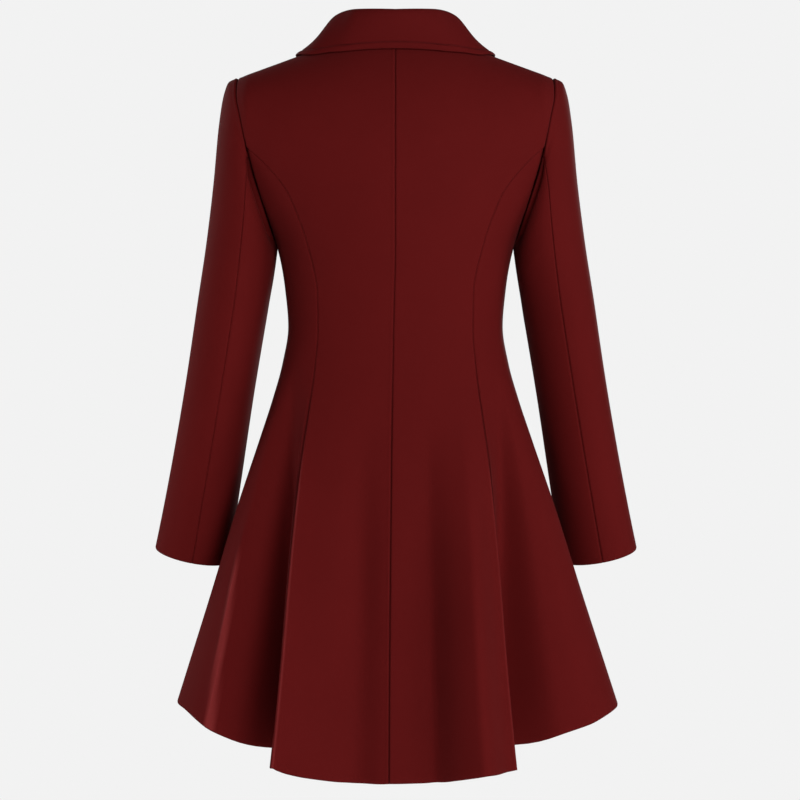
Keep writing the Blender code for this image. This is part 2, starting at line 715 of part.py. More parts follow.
def cloth_piece(name, grid, wall, side, offset=-1.0):
    """An open sheet through the rows of a grid, thickened by its wall.  The
    grids of the left half run the other way round, so they are turned."""
    rows, cols = grid.shape[:2]
    bm = bmesh.new()
    bmesh.ops.create_grid(bm, x_segments=cols - 1, y_segments=rows - 1,
                          size=1.0)
    for v in bm.verts:
        i = round((v.co.x + 1) / 2 * (cols - 1))
        j = round((v.co.y + 1) / 2 * (rows - 1))
        v.co = Vector(grid[j, i])
    if side > 0:
        bmesh.ops.reverse_faces(bm, faces=bm.faces[:])
    mesh = bpy.data.meshes.new(name)
    bm.to_mesh(mesh)
    bm.free()
    obj = place(name, mesh, make_material(name + "_cloth", CLOTH_COLOUR, 0.82))
    shell = obj.modifiers.new("wall", "SOLIDIFY")
    shell.thickness = wall
    shell.offset = offset
    shell.use_even_offset = True
    shell.use_quality_normals = True
    return obj


FRONT_GRIDS = {}
for side_name, side in (("left", 1), ("right", -1)):
    half_gap = SEAM_GAP / 2
    cloth_piece("back_" + side_name,
                long_panel(side, 0.0, 2.0, COLS_BACK, half_gap, half_gap),
                WALL, side)
    cloth_piece("side_back_" + side_name,
                side_panel(side, 2.0, 5.0, COLS_SIDE_BACK, WALL * 1.6),
                WALL, side)
    cloth_piece("side_front_" + side_name,
                side_panel(side, 5.0, 7.0, COLS_SIDE_FRONT, 0.0),
                WALL, side)
    past = 9.0 + float(station_step(side, 9.0, BLADE_Z, WRAP))
    FRONT_GRIDS[side] = long_panel(side, 7.0, past, COLS_FRONT, half_gap, 0.0,
                                   lift=-side * WRAP_LIFT)
    cloth_piece("front_" + side_name, FRONT_GRIDS[side], WALL, side)
    cloth_piece("sleeve_upper_" + side_name,
                sleeve_panel(side, "upper", COLS_UPPER),
                WALL, side)
    cloth_piece("sleeve_under_" + side_name,
                sleeve_panel(side, "under", COLS_UNDER),
                WALL, side)

cloth_piece("collar", collar_grid(), COLLAR_WALL, 1, offset=0.0)


def front_edge_y(z):
    """Outermost face of the overlapping front near the centre line."""
    grid = FRONT_GRIDS[-1]
    near = [np.interp(z, grid[:, i, 2], grid[:, i, 1])
            for i in range(grid.shape[1])
            if abs(grid[:, i, 0]).min() < 0.035]
    return float(min(near))



for n in range(BUTTON_COUNT):
    z = BUTTON_TOP_Z - n * BUTTON_PITCH
    high, low = (front_edge_y(z + h) for h in (BUTTON_RADIUS, -BUTTON_RADIUS))
    lean = math.atan2(high - low, 2 * BUTTON_RADIUS)
    normal = Vector((0.0, -math.cos(lean), math.sin(lean)))
    at = (0.0, min((high + low) / 2, front_edge_y(z)), z)
    bm = bmesh.new()
    bmesh.ops.create_cone(bm, cap_ends=True, segments=20,
                          radius1=BUTTON_RADIUS, radius2=BUTTON_RADIUS,
                          depth=BUTTON_DEPTH)
    mesh = bpy.data.meshes.new("button_%d" % (n + 1))
    bm.to_mesh(mesh)
    bm.free()
    button = place("button_%d" % (n + 1), mesh,
                   make_material("button_%d_resin" % (n + 1), BUTTON_COLOUR,
                                 0.35))
    stand_off = BUTTON_CLEAR + BUTTON_DEPTH / 2
    button.location = Vector(at) + normal * stand_off
    button.rotation_euler = (math.pi / 2 - lean, 0.0, 0.0)
    rim = button.modifiers.new("rim", "BEVEL")
    rim.width = BUTTON_ROUND
    rim.segments = 1
    rim.limit_method = "ANGLE"
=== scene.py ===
"""Looks of the fit-and-flare princess coat: cloth, seams, stitches, buttons.

Metres, +Z up.  The wearer faces -Y, the wearer's left is +X.  The panels are
thin shells on the coat's own form, at a finer pitch, with rolled seam edges,
turned hems and soft creases.
"""
import json
import math

import bmesh
import bpy
import numpy as np
from mathutils import Matrix, Vector

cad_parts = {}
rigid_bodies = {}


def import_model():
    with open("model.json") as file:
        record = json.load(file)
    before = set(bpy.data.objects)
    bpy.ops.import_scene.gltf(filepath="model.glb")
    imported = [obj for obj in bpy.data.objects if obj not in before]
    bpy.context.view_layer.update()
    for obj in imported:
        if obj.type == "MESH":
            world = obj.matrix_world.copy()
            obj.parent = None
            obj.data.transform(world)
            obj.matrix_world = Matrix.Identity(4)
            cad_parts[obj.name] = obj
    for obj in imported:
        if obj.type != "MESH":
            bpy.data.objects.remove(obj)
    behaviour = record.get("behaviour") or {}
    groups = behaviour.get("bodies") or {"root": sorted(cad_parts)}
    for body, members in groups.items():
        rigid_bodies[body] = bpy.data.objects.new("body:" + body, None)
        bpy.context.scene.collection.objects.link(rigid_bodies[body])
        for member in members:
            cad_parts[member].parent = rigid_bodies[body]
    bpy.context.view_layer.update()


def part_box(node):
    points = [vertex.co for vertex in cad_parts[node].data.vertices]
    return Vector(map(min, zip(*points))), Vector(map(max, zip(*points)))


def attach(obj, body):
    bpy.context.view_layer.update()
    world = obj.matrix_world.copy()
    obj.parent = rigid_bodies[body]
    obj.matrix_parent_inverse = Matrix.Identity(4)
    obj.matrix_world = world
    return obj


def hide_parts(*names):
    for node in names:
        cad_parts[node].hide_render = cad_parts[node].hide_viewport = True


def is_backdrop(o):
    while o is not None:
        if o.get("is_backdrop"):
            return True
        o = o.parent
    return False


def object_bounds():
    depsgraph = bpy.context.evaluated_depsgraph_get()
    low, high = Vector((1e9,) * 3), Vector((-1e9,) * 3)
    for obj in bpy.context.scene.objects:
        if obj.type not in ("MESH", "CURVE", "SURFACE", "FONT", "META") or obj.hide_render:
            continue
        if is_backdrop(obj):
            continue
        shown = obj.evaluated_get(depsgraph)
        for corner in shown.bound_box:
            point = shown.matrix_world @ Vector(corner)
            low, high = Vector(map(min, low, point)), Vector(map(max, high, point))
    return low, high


for old in list(bpy.data.objects):
    bpy.data.objects.remove(old, do_unlink=True)
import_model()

# ======================================================= the coat's own form
# ---------------------------------------------------------------- sizes (m)
WALL = 0.0021            # coat cloth of the body and the sleeves
COLLAR_WALL = 0.0024     # collar cloth, two layers pressed together
SEAM_GAP = 0.0005        # between neighbouring pieces
RIDGE_GAP = 0.0013       # between front and back along the shoulder seam

BLADE_Z = -0.120         # blade line: rings below it, rolled shoulders above
UNDERARM_Z = -0.236      # foot of the armhole, top of the side seam
TIP_X, TIP_Z = 0.194, -0.027     # shoulder tip
SHOULDER_SLOPE = 0.372   # rise over run of the shoulder line
NECK_HALF = 0.077        # half width of the neck seam
NECK_BACK = 0.058        # neck seam, depth behind the shoulder line
NECK_FRONT = 0.094       # neck seam, depth before the shoulder line
RIDGE_Y = -0.004         # where the shoulder seam lies, front to back
SQUARE = 0.020           # how much squarer than an oval the rings are

FOLD_TOP_Z = -0.370      # the flare's folds start here
FOLD_LOW_Z = -0.870      # and reach their full depth here
FOLD_EASE = 0.12         # how softly they start

WRAP = 0.022             # fronts run past the centre line by this much
WRAP_LIFT = 0.0017       # and lie this far over and under the common form

BUTTON_RADIUS = 0.0115
BUTTON_DEPTH = 0.0042
BUTTON_ROUND = 0.0011
BUTTON_CLEAR = 0.0005
BUTTON_TOP_Z = -0.150
BUTTON_PITCH = 0.088
BUTTON_COUNT = 5

# ------------------------------------------------------------------- tables
# rings of the body: half width, where it is widest, centre back, centre front
RING_COLUMNS = ("z", "half_width", "widest_y", "back_y", "front_y")
RINGS = (
    (-0.120, 0.2150, 0.000, 0.104, -0.113),
    (-0.180, 0.1780, 0.000, 0.103, -0.125),
    (-0.236, 0.1465, 0.000, 0.098, -0.130),
    (-0.290, 0.1364, 0.000, 0.087, -0.121),
    (-0.335, 0.1327, 0.002, 0.080, -0.110),
    (-0.380, 0.1395, 0.008, 0.085, -0.112),
    (-0.425, 0.1516, 0.016, 0.095, -0.118),
    (-0.470, 0.1660, 0.024, 0.106, -0.125),
    (-0.560, 0.1955, 0.038, 0.129, -0.138),
    (-0.660, 0.2263, 0.040, 0.154, -0.152),
    (-0.760, 0.2583, 0.038, 0.179, -0.166),
    (-0.870, 0.2935, 0.034, 0.205, -0.181),
)

# princess seams: distance from the centre line, back and front
PRINCESS_COLUMNS = ("z", "back_x", "front_x")
PRINCESS = (
    (-0.120, 0.1804, 0.1700),
    (-0.142, 0.1567, 0.1500),
    (-0.176, 0.1300, 0.1260),
    (-0.202, 0.1187, 0.1140),
    (-0.232, 0.1081, 0.1040),
    (-0.300, 0.0945, 0.0900),
    (-0.340, 0.0942, 0.0860),
    (-0.387, 0.0975, 0.0890),
    (-0.488, 0.1104, 0.1000),
    (-0.608, 0.1215, 0.1150),
    (-0.743, 0.1308, 0.1320),
    (-0.870, 0.1420, 0.1480),
)

# armhole edge: distance from the centre line, back and front
ARMHOLE_COLUMNS = ("z", "back_x", "front_x")
ARMHOLE = (
    (-0.236, 0.1465, 0.1465),
    (-0.206, 0.1553, 0.1505),
    (-0.181, 0.1633, 0.1555),
    (-0.151, 0.1726, 0.1620),
    (-0.120, 0.1804, 0.1700),
    (-0.083, 0.1882, 0.1810),
    (-0.053, 0.1936, 0.1900),
    (-0.027, 0.1940, 0.1940),
)

# hem height round the coat: longest at the centre back
HEM_COLUMNS = ("station", "left_z", "right_z")
HEM = (
    (0.0, -0.8600, -0.8600),
    (0.5, -0.8610, -0.8601),
    (0.75, -0.8596, -0.8581),
    (1.0, -0.8571, -0.8524),
    (1.25, -0.8543, -0.8474),
    (1.5, -0.8510, -0.8440),
    (1.75, -0.8464, -0.8464),
    (1.9, -0.8424, -0.8468),
    (2.0, -0.8395, -0.8460),
    (3.0, -0.8427, -0.8394),
    (3.25, -0.8377, -0.8330),
    (3.5, -0.8270, -0.8197),
    (4.0, -0.8054, -0.8062),
    (4.5, -0.7934, -0.7982),
    (5.0, -0.7910, -0.7937),
    (6.0, -0.7770, -0.7770),
    (7.0, -0.7690, -0.7690),
    (9.0, -0.7630, -0.7630),
)

# centre back seam: how far it wanders towards the wearer's left
DRIFT_COLUMNS = ("z", "x")
DRIFT = ((-0.870, 0.0070), (-0.500, 0.0045), (-0.335, 0.0020), (-0.240, 0.0),
         (0.100, 0.0))

# the flare's largest folds at full depth: moved aside from the centre line
# and to the back.  The back panels stand proud along the princess seams and
# the side backs are tucked in behind them.
FOLD_COLUMNS = ("station", "left_aside", "left_back", "right_aside",
                "right_back")
BACK_FOLDS = (
    (0.0, 0.000, 0.000, 0.000, 0.000),
    (1.0, 0.000, 0.002, 0.000, 0.000),
    (1.5, 0.000, 0.013, 0.000, 0.002),
    (2.0, 0.000, 0.034, 0.000, 0.006),
)
SIDE_FOLDS = (
    (2.0, 0.000, 0.034, 0.000, 0.006),
    (2.12, -0.009, 0.017, -0.018, -0.006),
    (2.4, -0.056, -0.018, -0.060, -0.034),
    (3.0, -0.102, -0.072, -0.106, -0.070),
    (3.5, -0.062, -0.012, -0.053, -0.013),
    (4.0, -0.032, 0.024, -0.021, 0.001),
    (5.0, -0.003, 0.000, 0.002, 0.000),
    (6.0, -0.020, 0.010, -0.018, 0.012),
    (7.0, 0.000, -0.006, 0.000, -0.006),
    (8.0, 0.000, 0.004, 0.000, 0.003),
    (9.0, 0.000, 0.000, 0.000, 0.000),
)

# soft upright waves in the back panels: ridges stand out, troughs in; they
# start at the top height, are whole at the full height, and lean from one
# station to another
WAVE_COLUMNS = ("side", "station_top", "station_hem", "inner", "outer",
                "firm", "height", "top_z", "full_z")
WAVES = (
    (+1, 0.56, 0.54, 0.36, 0.36, 0.0, -0.013, -0.420, -0.660),
    (-1, 1.66, 1.63, 0.96, 0.42, 1.0, 0.050, -0.400, -0.740),
    (-1, 0.74, 0.70, 0.60, 0.25, 0.0, -0.008, -0.420, -0.740),
)

# sleeve rings from the armhole to the cuff: outermost and innermost points,
# middle and half depth front to back, and how far the back edge drops
SLEEVE_COLUMNS = ("outer_x", "outer_z", "inner_x", "inner_z", "mid_y",
                  "half_depth", "drop", "hind")
SLEEVE = (
    (0.1940, -0.0270, 0.1458, -0.2385, -0.004, 0.0660, 0.000, 96.0),
    (0.2054, -0.0304, 0.1464, -0.2425, -0.004, 0.0665, 0.000, 95.6),
    (0.2127, -0.0478, 0.1474, -0.2480, -0.003, 0.0670, 0.000, 95.2),
    (0.2188, -0.0850, 0.1492, -0.2600, -0.003, 0.0680, 0.001, 94.9),
    (0.2255, -0.1550, 0.1521, -0.2780, -0.004, 0.0670, 0.002, 95.2),
    (0.2347, -0.2300, 0.1560, -0.2990, -0.006, 0.0650, 0.004, 96.5),
    (0.2455, -0.3000, 0.1602, -0.3230, -0.009, 0.0630, 0.006, 97.5),
    (0.2610, -0.4000, 0.1762, -0.4160, -0.015, 0.0600, 0.007, 97.5),
    (0.2812, -0.5100, 0.1935, -0.5270, -0.026, 0.0550, 0.007, 96.5),
    (0.3025, -0.6085, 0.2095, -0.6280, -0.042, 0.0500, 0.007, 96.0),
)
CAP_LAST = 4.0           # the sleeve takes up the armhole's own form till here
FORE_SEAM = math.radians(-108.0)   # front sleeve seam, from the outermost line
SLEEVE_TWIST = {1: 0.000, -1: 0.010}   # outer edge set back, left and right
HIND_TURN = {1: 0.0, -1: -6.0}         # back sleeve seam turned, degrees

# collar: round the neck from the centre back, height of the roll, its lean
# outwards, the fall's edge as a place on the shoulders, and how far the fall
# swells outwards below its roll and above its edge
COLLAR_COLUMNS = ("turn", "roll_z", "lean", "edge_x", "edge_over", "roll_out",
                  "edge_out")
COLLAR = (
    (0.0, 0.0459, 0.0103, 0.0000, 51.5, 0.0110, 0.004),
    (30.0, 0.0480, 0.0101, 0.0554, 53.9, 0.0100, 0.003),
    (45.0, 0.0495, 0.0042, 0.0822, 58.9, 0.0080, 0.002),
    (65.0, 0.0475, 0.0015, 0.1032, 64.2, 0.0092, 0.001),
    (90.0, 0.0437, -0.0034, 0.1220, 87.5, 0.0066, -0.010),
    (120.0, 0.0200, 0.0050, 0.1180, 122.0, 0.0080, 0.002),
    (150.0, -0.0200, 0.0100, 0.0880, 155.0, 0.0110, 0.004),
    (174.0, -0.0440, 0.0100, 0.0520, 175.0, 0.0110, 0.004),
)
COLLAR_END = 174.0
EDGE_CLEAR = 0.0026      # fall's middle layer over the shoulders at its edge

# ------------------------------------------------------------ smooth columns
def end_slope(h0, h1, d0, d1):
    s = ((2 * h0 + h1) * d0 - h0 * d1) / (h0 + h1)
    if s * d0 <= 0:
        return 0.0
    if d0 * d1 <= 0 and abs(s) > 3 * abs(d0):
        return 3 * d0
    return s


class Column:
    """A smooth curve through two columns of a table, without overshoot."""

    def __init__(self, names, rows, along, value):
        pairs = sorted((r[names.index(along)], r[names.index(value)])
                       for r in rows)
        self.x = np.array([p[0] for p in pairs], float)
        self.y = np.array([p[1] for p in pairs], float)
        h = np.diff(self.x)
        d = np.diff(self.y) / h
        m = np.zeros(len(self.x))
        for i in range(1, len(m) - 1):
            if d[i - 1] * d[i] > 0:
                a, b = 2 * h[i] + h[i - 1], h[i] + 2 * h[i - 1]
                m[i] = (a + b) / (a / d[i - 1] + b / d[i])
        if len(m) > 2:
            m[0] = end_slope(h[0], h[1], d[0], d[1])
            m[-1] = end_slope(h[-1], h[-2], d[-1], d[-2])
        else:
            m[:] = d[0]
        self.m = m

    def __call__(self, at):
        at = np.asarray(at, float)
        c = np.clip(at, self.x[0], self.x[-1])
        i = np.clip(np.searchsorted(self.x, c, side="right") - 1, 0,
                    len(self.x) - 2)
        h = self.x[i + 1] - self.x[i]
        t = (c - self.x[i]) / h
        y = ((1 + 2 * t) * (1 - t) ** 2 * self.y[i]
             + t * (1 - t) ** 2 * h * self.m[i]
             + t * t * (3 - 2 * t) * self.y[i + 1]
             + t * t * (t - 1) * h * self.m[i + 1])
        slope = np.where(at < self.x[0], self.m[0],
                         np.where(at > self.x[-1], self.m[-1], 0.0))
        return y + (at - c) * slope


half_width = Column(RING_COLUMNS, RINGS, "z", "half_width")
widest_y = Column(RING_COLUMNS, RINGS, "z", "widest_y")
back_y = Column(RING_COLUMNS, RINGS, "z", "back_y")
front_y = Column(RING_COLUMNS, RINGS, "z", "front_y")
princess_back = Column(PRINCESS_COLUMNS, PRINCESS, "z", "back_x")
princess_front = Column(PRINCESS_COLUMNS, PRINCESS, "z", "front_x")
armhole_back = Column(ARMHOLE_COLUMNS, ARMHOLE, "z", "back_x")
armhole_front = Column(ARMHOLE_COLUMNS, ARMHOLE, "z", "front_x")
hem_left = Column(HEM_COLUMNS, HEM, "station", "left_z")
hem_right = Column(HEM_COLUMNS, HEM, "station", "right_z")
drift_x = Column(DRIFT_COLUMNS, DRIFT, "z", "x")
fold_curves = {
    (zone, name): Column(FOLD_COLUMNS, rows, "station", name)
    for zone, rows in (("back", BACK_FOLDS), ("side", SIDE_FOLDS))
    for name in FOLD_COLUMNS[1:]}
collar_at = {name: Column(COLLAR_COLUMNS, COLLAR, "turn", name)
             for name in COLLAR_COLUMNS[1:]}


# ------------------------------------------------------------------ the body
def round_x(psi):
    return (np.sin(psi) + SQUARE * np.sin(3 * psi)) / (1 - SQUARE)


def round_y(psi):
    return (np.cos(psi) - SQUARE * np.cos(3 * psi)) / (1 - SQUARE)


def turn_for(ratio):
    """Turn from the centre back whose ring point lies at this part of the
    half width."""
    ratio = np.clip(ratio, 0.0, 0.9995)
    psi = np.arcsin(ratio)
    for _ in range(8):
        slope = (np.cos(psi) + 3 * SQUARE * np.cos(3 * psi)) / (1 - SQUARE)
        psi = psi - (round_x(psi) - ratio) / np.maximum(slope, 0.05)
        psi = np.clip(psi, 0.0, math.pi / 2)
    return psi


def fold_growth(z):
    r = np.clip((FOLD_TOP_Z - z) / (FOLD_TOP_Z - FOLD_LOW_Z), 0.0, 1.2)
    return r * r * (1 + FOLD_EASE) / (r + FOLD_EASE)


def unmirror(side, station):
    """Stations past the centre lines belong to the other half."""
    station = np.asarray(station, float)
    side = np.where((station < 0) | (station > 9), -side, side)
    station = np.where(station < 0, -station, station)
    return side, np.where(station > 9, 18 - station, station)


def hem_z(side, station):
    s, q = unmirror(side, station)
    return np.where(s > 0, hem_left(q), hem_right(q))


def soft_step(t):
    t = np.clip(t, 0.0, 1.0)
    return t * t * (3 - 2 * t)


def wave_form(off, inner, outer, firm):
    """Across a wave; a firm one rises from a narrow foot on its inner side."""
    soft = np.exp(-(off / np.where(off < 0, inner, outer)) ** 2)
    v = 1 - np.abs(off / inner) ** 1.6
    arch = (v + np.sqrt(v * v + 0.006)) / 2.003
    return np.where(off < 0, soft + (arch - soft) * firm, soft)


def ring_turn(q, z):
    pb = turn_for(princess_back(z) / half_width(z))
    pf = math.pi - turn_for(princess_front(z) / half_width(z))
    quarter = math.pi / 2
    return np.where(
        q <= 2, pb * q / 2,
        np.where(q <= 5, pb + (quarter - pb) * (q - 2) / 3,
                 np.where(q <= 7, quarter + (pf - quarter) * (q - 5) / 2,
                          pf + (math.pi - pf) * (q - 7) / 2)))


def ring_point(side, station, z):
    """Outer face of the cloth below the blade line."""
    z = np.asarray(z, float)
    s, q = unmirror(side, station)
    psi = ring_turn(q, z)
    mid = widest_y(z)
    c = round_y(psi)
    x = half_width(z) * round_x(psi)
    y = mid + np.where(c >= 0, back_y(z) - mid, mid - front_y(z)) * c
    grow = fold_growth(z)
    for label, sign in (("left", 1), ("right", -1)):
        here = np.where(s == sign, grow, 0.0)
        aside = np.where(q <= 2, fold_curves["back", label + "_aside"](q),
                         fold_curves["side", label + "_aside"](q))
        back = np.where(q <= 2, fold_curves["back", label + "_back"](q),
                        fold_curves["side", label + "_back"](q))
        x = x + aside * here
        y = y + back * here
    for (w_side, q_top, q_hem, inner, outer, firm, height, top_z,
         full_z) in WAVES:
        lean = np.clip((top_z - z) / (top_z - FOLD_LOW_Z), 0.0, 1.2)
        off = np.where(s == w_side, q, -q) - (q_top + (q_hem - q_top) * lean)
        y = y + height * soft_step((top_z - z) / (top_z - full_z)) \
            * wave_form(off, inner, outer, firm) * soft_step((2.0 - q) / 0.6)
    x = s * x + drift_x(z) * np.clip(1 - q / 2, 0, 1)
    return np.stack(np.broadcast_arrays(x, y, z), -1)


def plain_y(x, z, behind):
    """Front or back of the plain ring at a distance from the centre line."""
    psi = turn_for(np.abs(x) / half_width(z))
    mid = widest_y(z)
    depth = np.where(behind, back_y(z) - mid, front_y(z) - mid)
    return mid + depth * round_y(psi)


def ridge_z(x):
    """Height of the shoulder line, carried on over the neck."""
    x = np.abs(x)
    neck_z = TIP_Z + (TIP_X - NECK_HALF) * SHOULDER_SLOPE
    over_neck = neck_z + SHOULDER_SLOPE * NECK_HALF / 2 * (
        1 - (x / NECK_HALF) ** 2)
    return np.where(x < NECK_HALF, over_neck,
                    TIP_Z + (TIP_X - x) * SHOULDER_SLOPE)


def shoulder_point(x, over):
    """Surface above the blade line: over runs from 0 at the blade line of the
    back, by a quarter turn at the shoulder seam, to a half turn in front."""
    x, over = np.broadcast_arrays(np.asarray(x, float),
                                  np.asarray(over, float))
    behind = over <= math.pi / 2
    phi = np.where(behind, over, math.pi - over)
    top = ridge_z(x)
    y0 = plain_y(x, BLADE_Z, behind)
    y1 = plain_y(x, BLADE_Z - 0.004, behind)
    kick = np.clip((y0 - y1) / 0.004 * (top - BLADE_Z) / (y0 - RIDGE_Y),
                   -0.6, 0.6)
    y = RIDGE_Y + (y0 - RIDGE_Y) * np.cos(phi) * (1 + kick * np.sin(phi))
    z = BLADE_Z + (top - BLADE_Z) * np.sin(phi)
    return np.stack((x, y, z), -1)


def yoke_x(q, phi):
    """Distance from the centre line above the blade line."""
    behind = q < 4.5
    u = np.where(behind, q / 2, (9 - q) / 2)
    z_out = BLADE_Z + (TIP_Z - BLADE_Z) * np.sin(phi)
    spread = np.where(
        behind, armhole_back(z_out) / armhole_back(BLADE_Z),
        armhole_front(z_out) / armhole_front(BLADE_Z))
    x0 = half_width(BLADE_Z) * round_x(ring_turn(q, np.float64(BLADE_Z)))
    return x0 * (1 + (spread - 1) * u * u)


def yoke_point(side, station, phi):
    """Outer face above the blade line, phi from 0 up to a quarter turn."""
    s, q = unmirror(side, station)
    phi = np.asarray(phi, float)
    x = yoke_x(q, phi)
    over = np.where(q < 4.5, phi, math.pi - phi)
    p = shoulder_point(x, over)
    p[..., 0] = p[..., 0] * s
    return p


def neck_depth(x, behind):
    part = np.sqrt(np.clip(1 - (np.abs(x) / NECK_HALF) ** 2, 0, 1))
    return np.where(behind, NECK_BACK, NECK_FRONT) * part


def yoke_top(station):
    """Where a station meets the neck seam or the shoulder seam."""
    _, q = unmirror(1, station)
    lo = np.zeros_like(q)
    hi = np.full_like(q, math.pi / 2)
    for _ in range(40):
        mid = (lo + hi) / 2
        p = yoke_point(1, q, mid)
        outside = np.abs(p[..., 1] - RIDGE_Y) > neck_depth(p[..., 0], q < 4.5)
        lo = np.where(outside, mid, lo)
        hi = np.where(outside, hi, mid)
    return (lo + hi) / 2


def side_top(station):
    """Height at which a side panel's station meets the armhole."""
    _, q = unmirror(1, station)
    lo = np.full_like(q, UNDERARM_Z)
    hi = np.full_like(q, BLADE_Z)
    for _ in range(40):
        mid = (lo + hi) / 2
        x = half_width(mid) * round_x(ring_turn(q, mid))
        edge = np.where(q < 5, armhole_back(mid), armhole_front(mid))
        inside = x < edge
        lo = np.where(inside, mid, lo)
        hi = np.where(inside, hi, mid)
    return (lo + hi) / 2


def station_step(side, q, z, length):
    """Change of station that moves a ring point by a length."""
    d = 0.004
    span = ring_point(side, q + d, z) - ring_point(side, q - d, z)
    return length * 2 * d / np.linalg.norm(span, axis=-1)


# ---------------------------------------------------------------- the sleeves
sleeve_at = {}
for column_name in SLEEVE_COLUMNS:
    k = SLEEVE_COLUMNS.index(column_name)
    sleeve_at[column_name] = Column(
        ("ring", "value"), [(i, r[k]) for i, r in enumerate(SLEEVE)],
        "ring", "value")


def armhole_loop():
    """Edge of the left armhole from the shoulder tip down the back to the
    underarm and up the front, as two paths with their lengths."""
    paths = []
    for seam, foot in ((2.0, 5.0), (7.0, 5.0)):
        phi = np.linspace(math.pi / 2, 0.0, 30)
        upper = yoke_point(1, np.full(30, seam), phi)
        q = np.linspace(seam, foot, 40)[1:]
        lower = ring_point(1, q, side_top(q))
        path = np.concatenate((upper, lower))
        run = np.concatenate(([0.0], np.cumsum(np.linalg.norm(
            np.diff(path, axis=0), axis=1))))
        paths.append((path, run / run[-1]))
    return paths


ARMHOLE_PATHS = armhole_loop()


def armhole_point(theta):
    """Left armhole edge at a turn: 0 tip, +half turn down the back."""
    theta = (np.asarray(theta, float) + math.pi) % (2 * math.pi) - math.pi
    share = np.abs(theta) / math.pi
    out = []
    for path, run in ARMHOLE_PATHS:
        out.append(np.stack([np.interp(share, run, path[:, i])
                             for i in range(3)], -1))
    return np.where((theta >= 0)[..., None], out[0], out[1])


def sleeve_ring(theta, ring, side):
    c = {name: f(ring) for name, f in sleeve_at.items()}
    mx, mz = (c["outer_x"] + c["inner_x"]) / 2, (c["outer_z"] + c["inner_z"]) / 2
    ax, az = (c["outer_x"] - c["inner_x"]) / 2, (c["outer_z"] - c["inner_z"]) / 2
    x = mx + ax * np.cos(theta)
    twist = SLEEVE_TWIST[side] * np.clip((ring - CAP_LAST) / 2, 0, 1)
    y = c["mid_y"] + c["half_depth"] * np.sin(theta) + twist * np.cos(theta)
    z = mz + az * np.cos(theta) - c["drop"] * np.sin(theta)
    return np.stack(np.broadcast_arrays(x, y, z), -1)


def sleeve_span(part, ring, side):
    """Turns of a sleeve piece's two seams at a ring."""
    hind = np.radians(sleeve_at["hind"](ring)
                      + HIND_TURN[side] * np.clip(ring / 3.0, 0, 1))
    fore = np.full_like(hind, FORE_SEAM)
    return (fore, hind) if part == "upper" else (hind, fore + 2 * math.pi)


def sleeve_point(theta, ring, side):
    """Outer face of a sleeve, as on the left; ring 0 is the armhole edge."""
    theta, ring = np.broadcast_arrays(np.asarray(theta, float),
                                      np.asarray(ring, float))
    gap = armhole_point(theta) - sleeve_ring(theta, np.zeros_like(ring), side)
    fade = np.clip(1 - ring / CAP_LAST, 0, 1)[..., None]
    return sleeve_ring(theta, ring, side) + gap * fade ** 2


# ----------------------------------------------------------------- the collar
def collar_section(turn):
    """Neck seam, roll and edge of the collar at a turn from the centre back
    (degrees, left half)."""
    b = np.radians(turn)
    x = NECK_HALF * np.sin(b)
    deep = np.where(np.cos(b) >= 0, NECK_BACK, -NECK_FRONT) \
        * np.sqrt(np.clip(1 - np.sin(b) ** 2, 0, 1))
    lo = np.zeros_like(b)
    hi = np.full_like(b, math.pi)
    for _ in range(40):
        mid = (lo + hi) / 2
        behind = shoulder_point(x, mid)[..., 1] - RIDGE_Y > deep
        lo = np.where(behind, mid, lo)
        hi = np.where(behind, hi, mid)
    over = (lo + hi) / 2
    seam = shoulder_point(x, over)
    out = np.stack((np.sin(b), np.cos(b), np.zeros_like(b)), -1)
    up = np.array((0.0, 0.0, 1.0))
    rise = (0.0014 + 0.0030 * np.clip((turn - 95.0) / 60.0, 0, 1)
            + 0.0021 * np.clip((turn - 150.0) / 20.0, 0, 1))
    seam = seam + up * rise[..., None] - out * 0.0012
    roll = seam + out * collar_at["lean"](turn)[..., None]
    roll[..., 2] = collar_at["roll_z"](turn)
    ex = collar_at["edge_x"](turn)
    eo = np.radians(collar_at["edge_over"](turn))
    d = 0.002
    along = shoulder_point(ex + d, eo) - shoulder_point(ex - d, eo)
    across = shoulder_point(ex, eo + d) - shoulder_point(ex, eo - d)
    normal = np.cross(across, along)
    normal /= np.linalg.norm(normal, axis=-1)[..., None]
    normal = np.where(normal[..., 2:3] < -0.2, -normal, normal)
    edge = shoulder_point(ex, eo) + normal * EDGE_CLEAR
    swell = [out * collar_at[name](turn)[..., None]
             for name in ("roll_out", "edge_out")]
    return seam, roll, edge, out, swell


def bezier(p0, p1, p2, p3, t):
    return ((1 - t) ** 3 * p0 + 3 * t * (1 - t) ** 2 * p1
            + 3 * t * t * (1 - t) * p2 + t ** 3 * p3)


# ============================================================ fine cloth forms
SEAM_SHUT = 0.0003       # between neighbouring pieces here
SEAM_LEAN = 0.0009       # sewn edges press into each other inside the seam
EDGE_STEPS = (0.0, 0.0006, 0.0012, 0.0019, 0.0027, 0.0037, 0.0050, 0.0068)
LOW_ROWS, YOKE_ROWS = 120, 44
MID_BACK, MID_SIDE_BACK, MID_SIDE_FRONT, MID_FRONT = 30, 40, 26, 32
SLEEVE_ROWS, MID_UPPER, MID_UNDER = 120, 36, 26
COLLAR_TURNS, STAND_ROWS, FALL_ROWS = 180, 14, 44
HEM_TURN, HEM_PLY = 0.036, 0.0013    # turned-up hem and the step it makes
ARMHOLE_SINK = 0.010     # greatest depth of the hollow beside the armhole
SEAM_SHADE_SPREAD = 0.0008       # half width of the painted shade line along a seam
HIGHLIGHT_CREASE = 0.0046                  # a crease this high shows worn nap
STITCH_IN = 0.0072                   # a crease this high gets a painted highlight on its crest
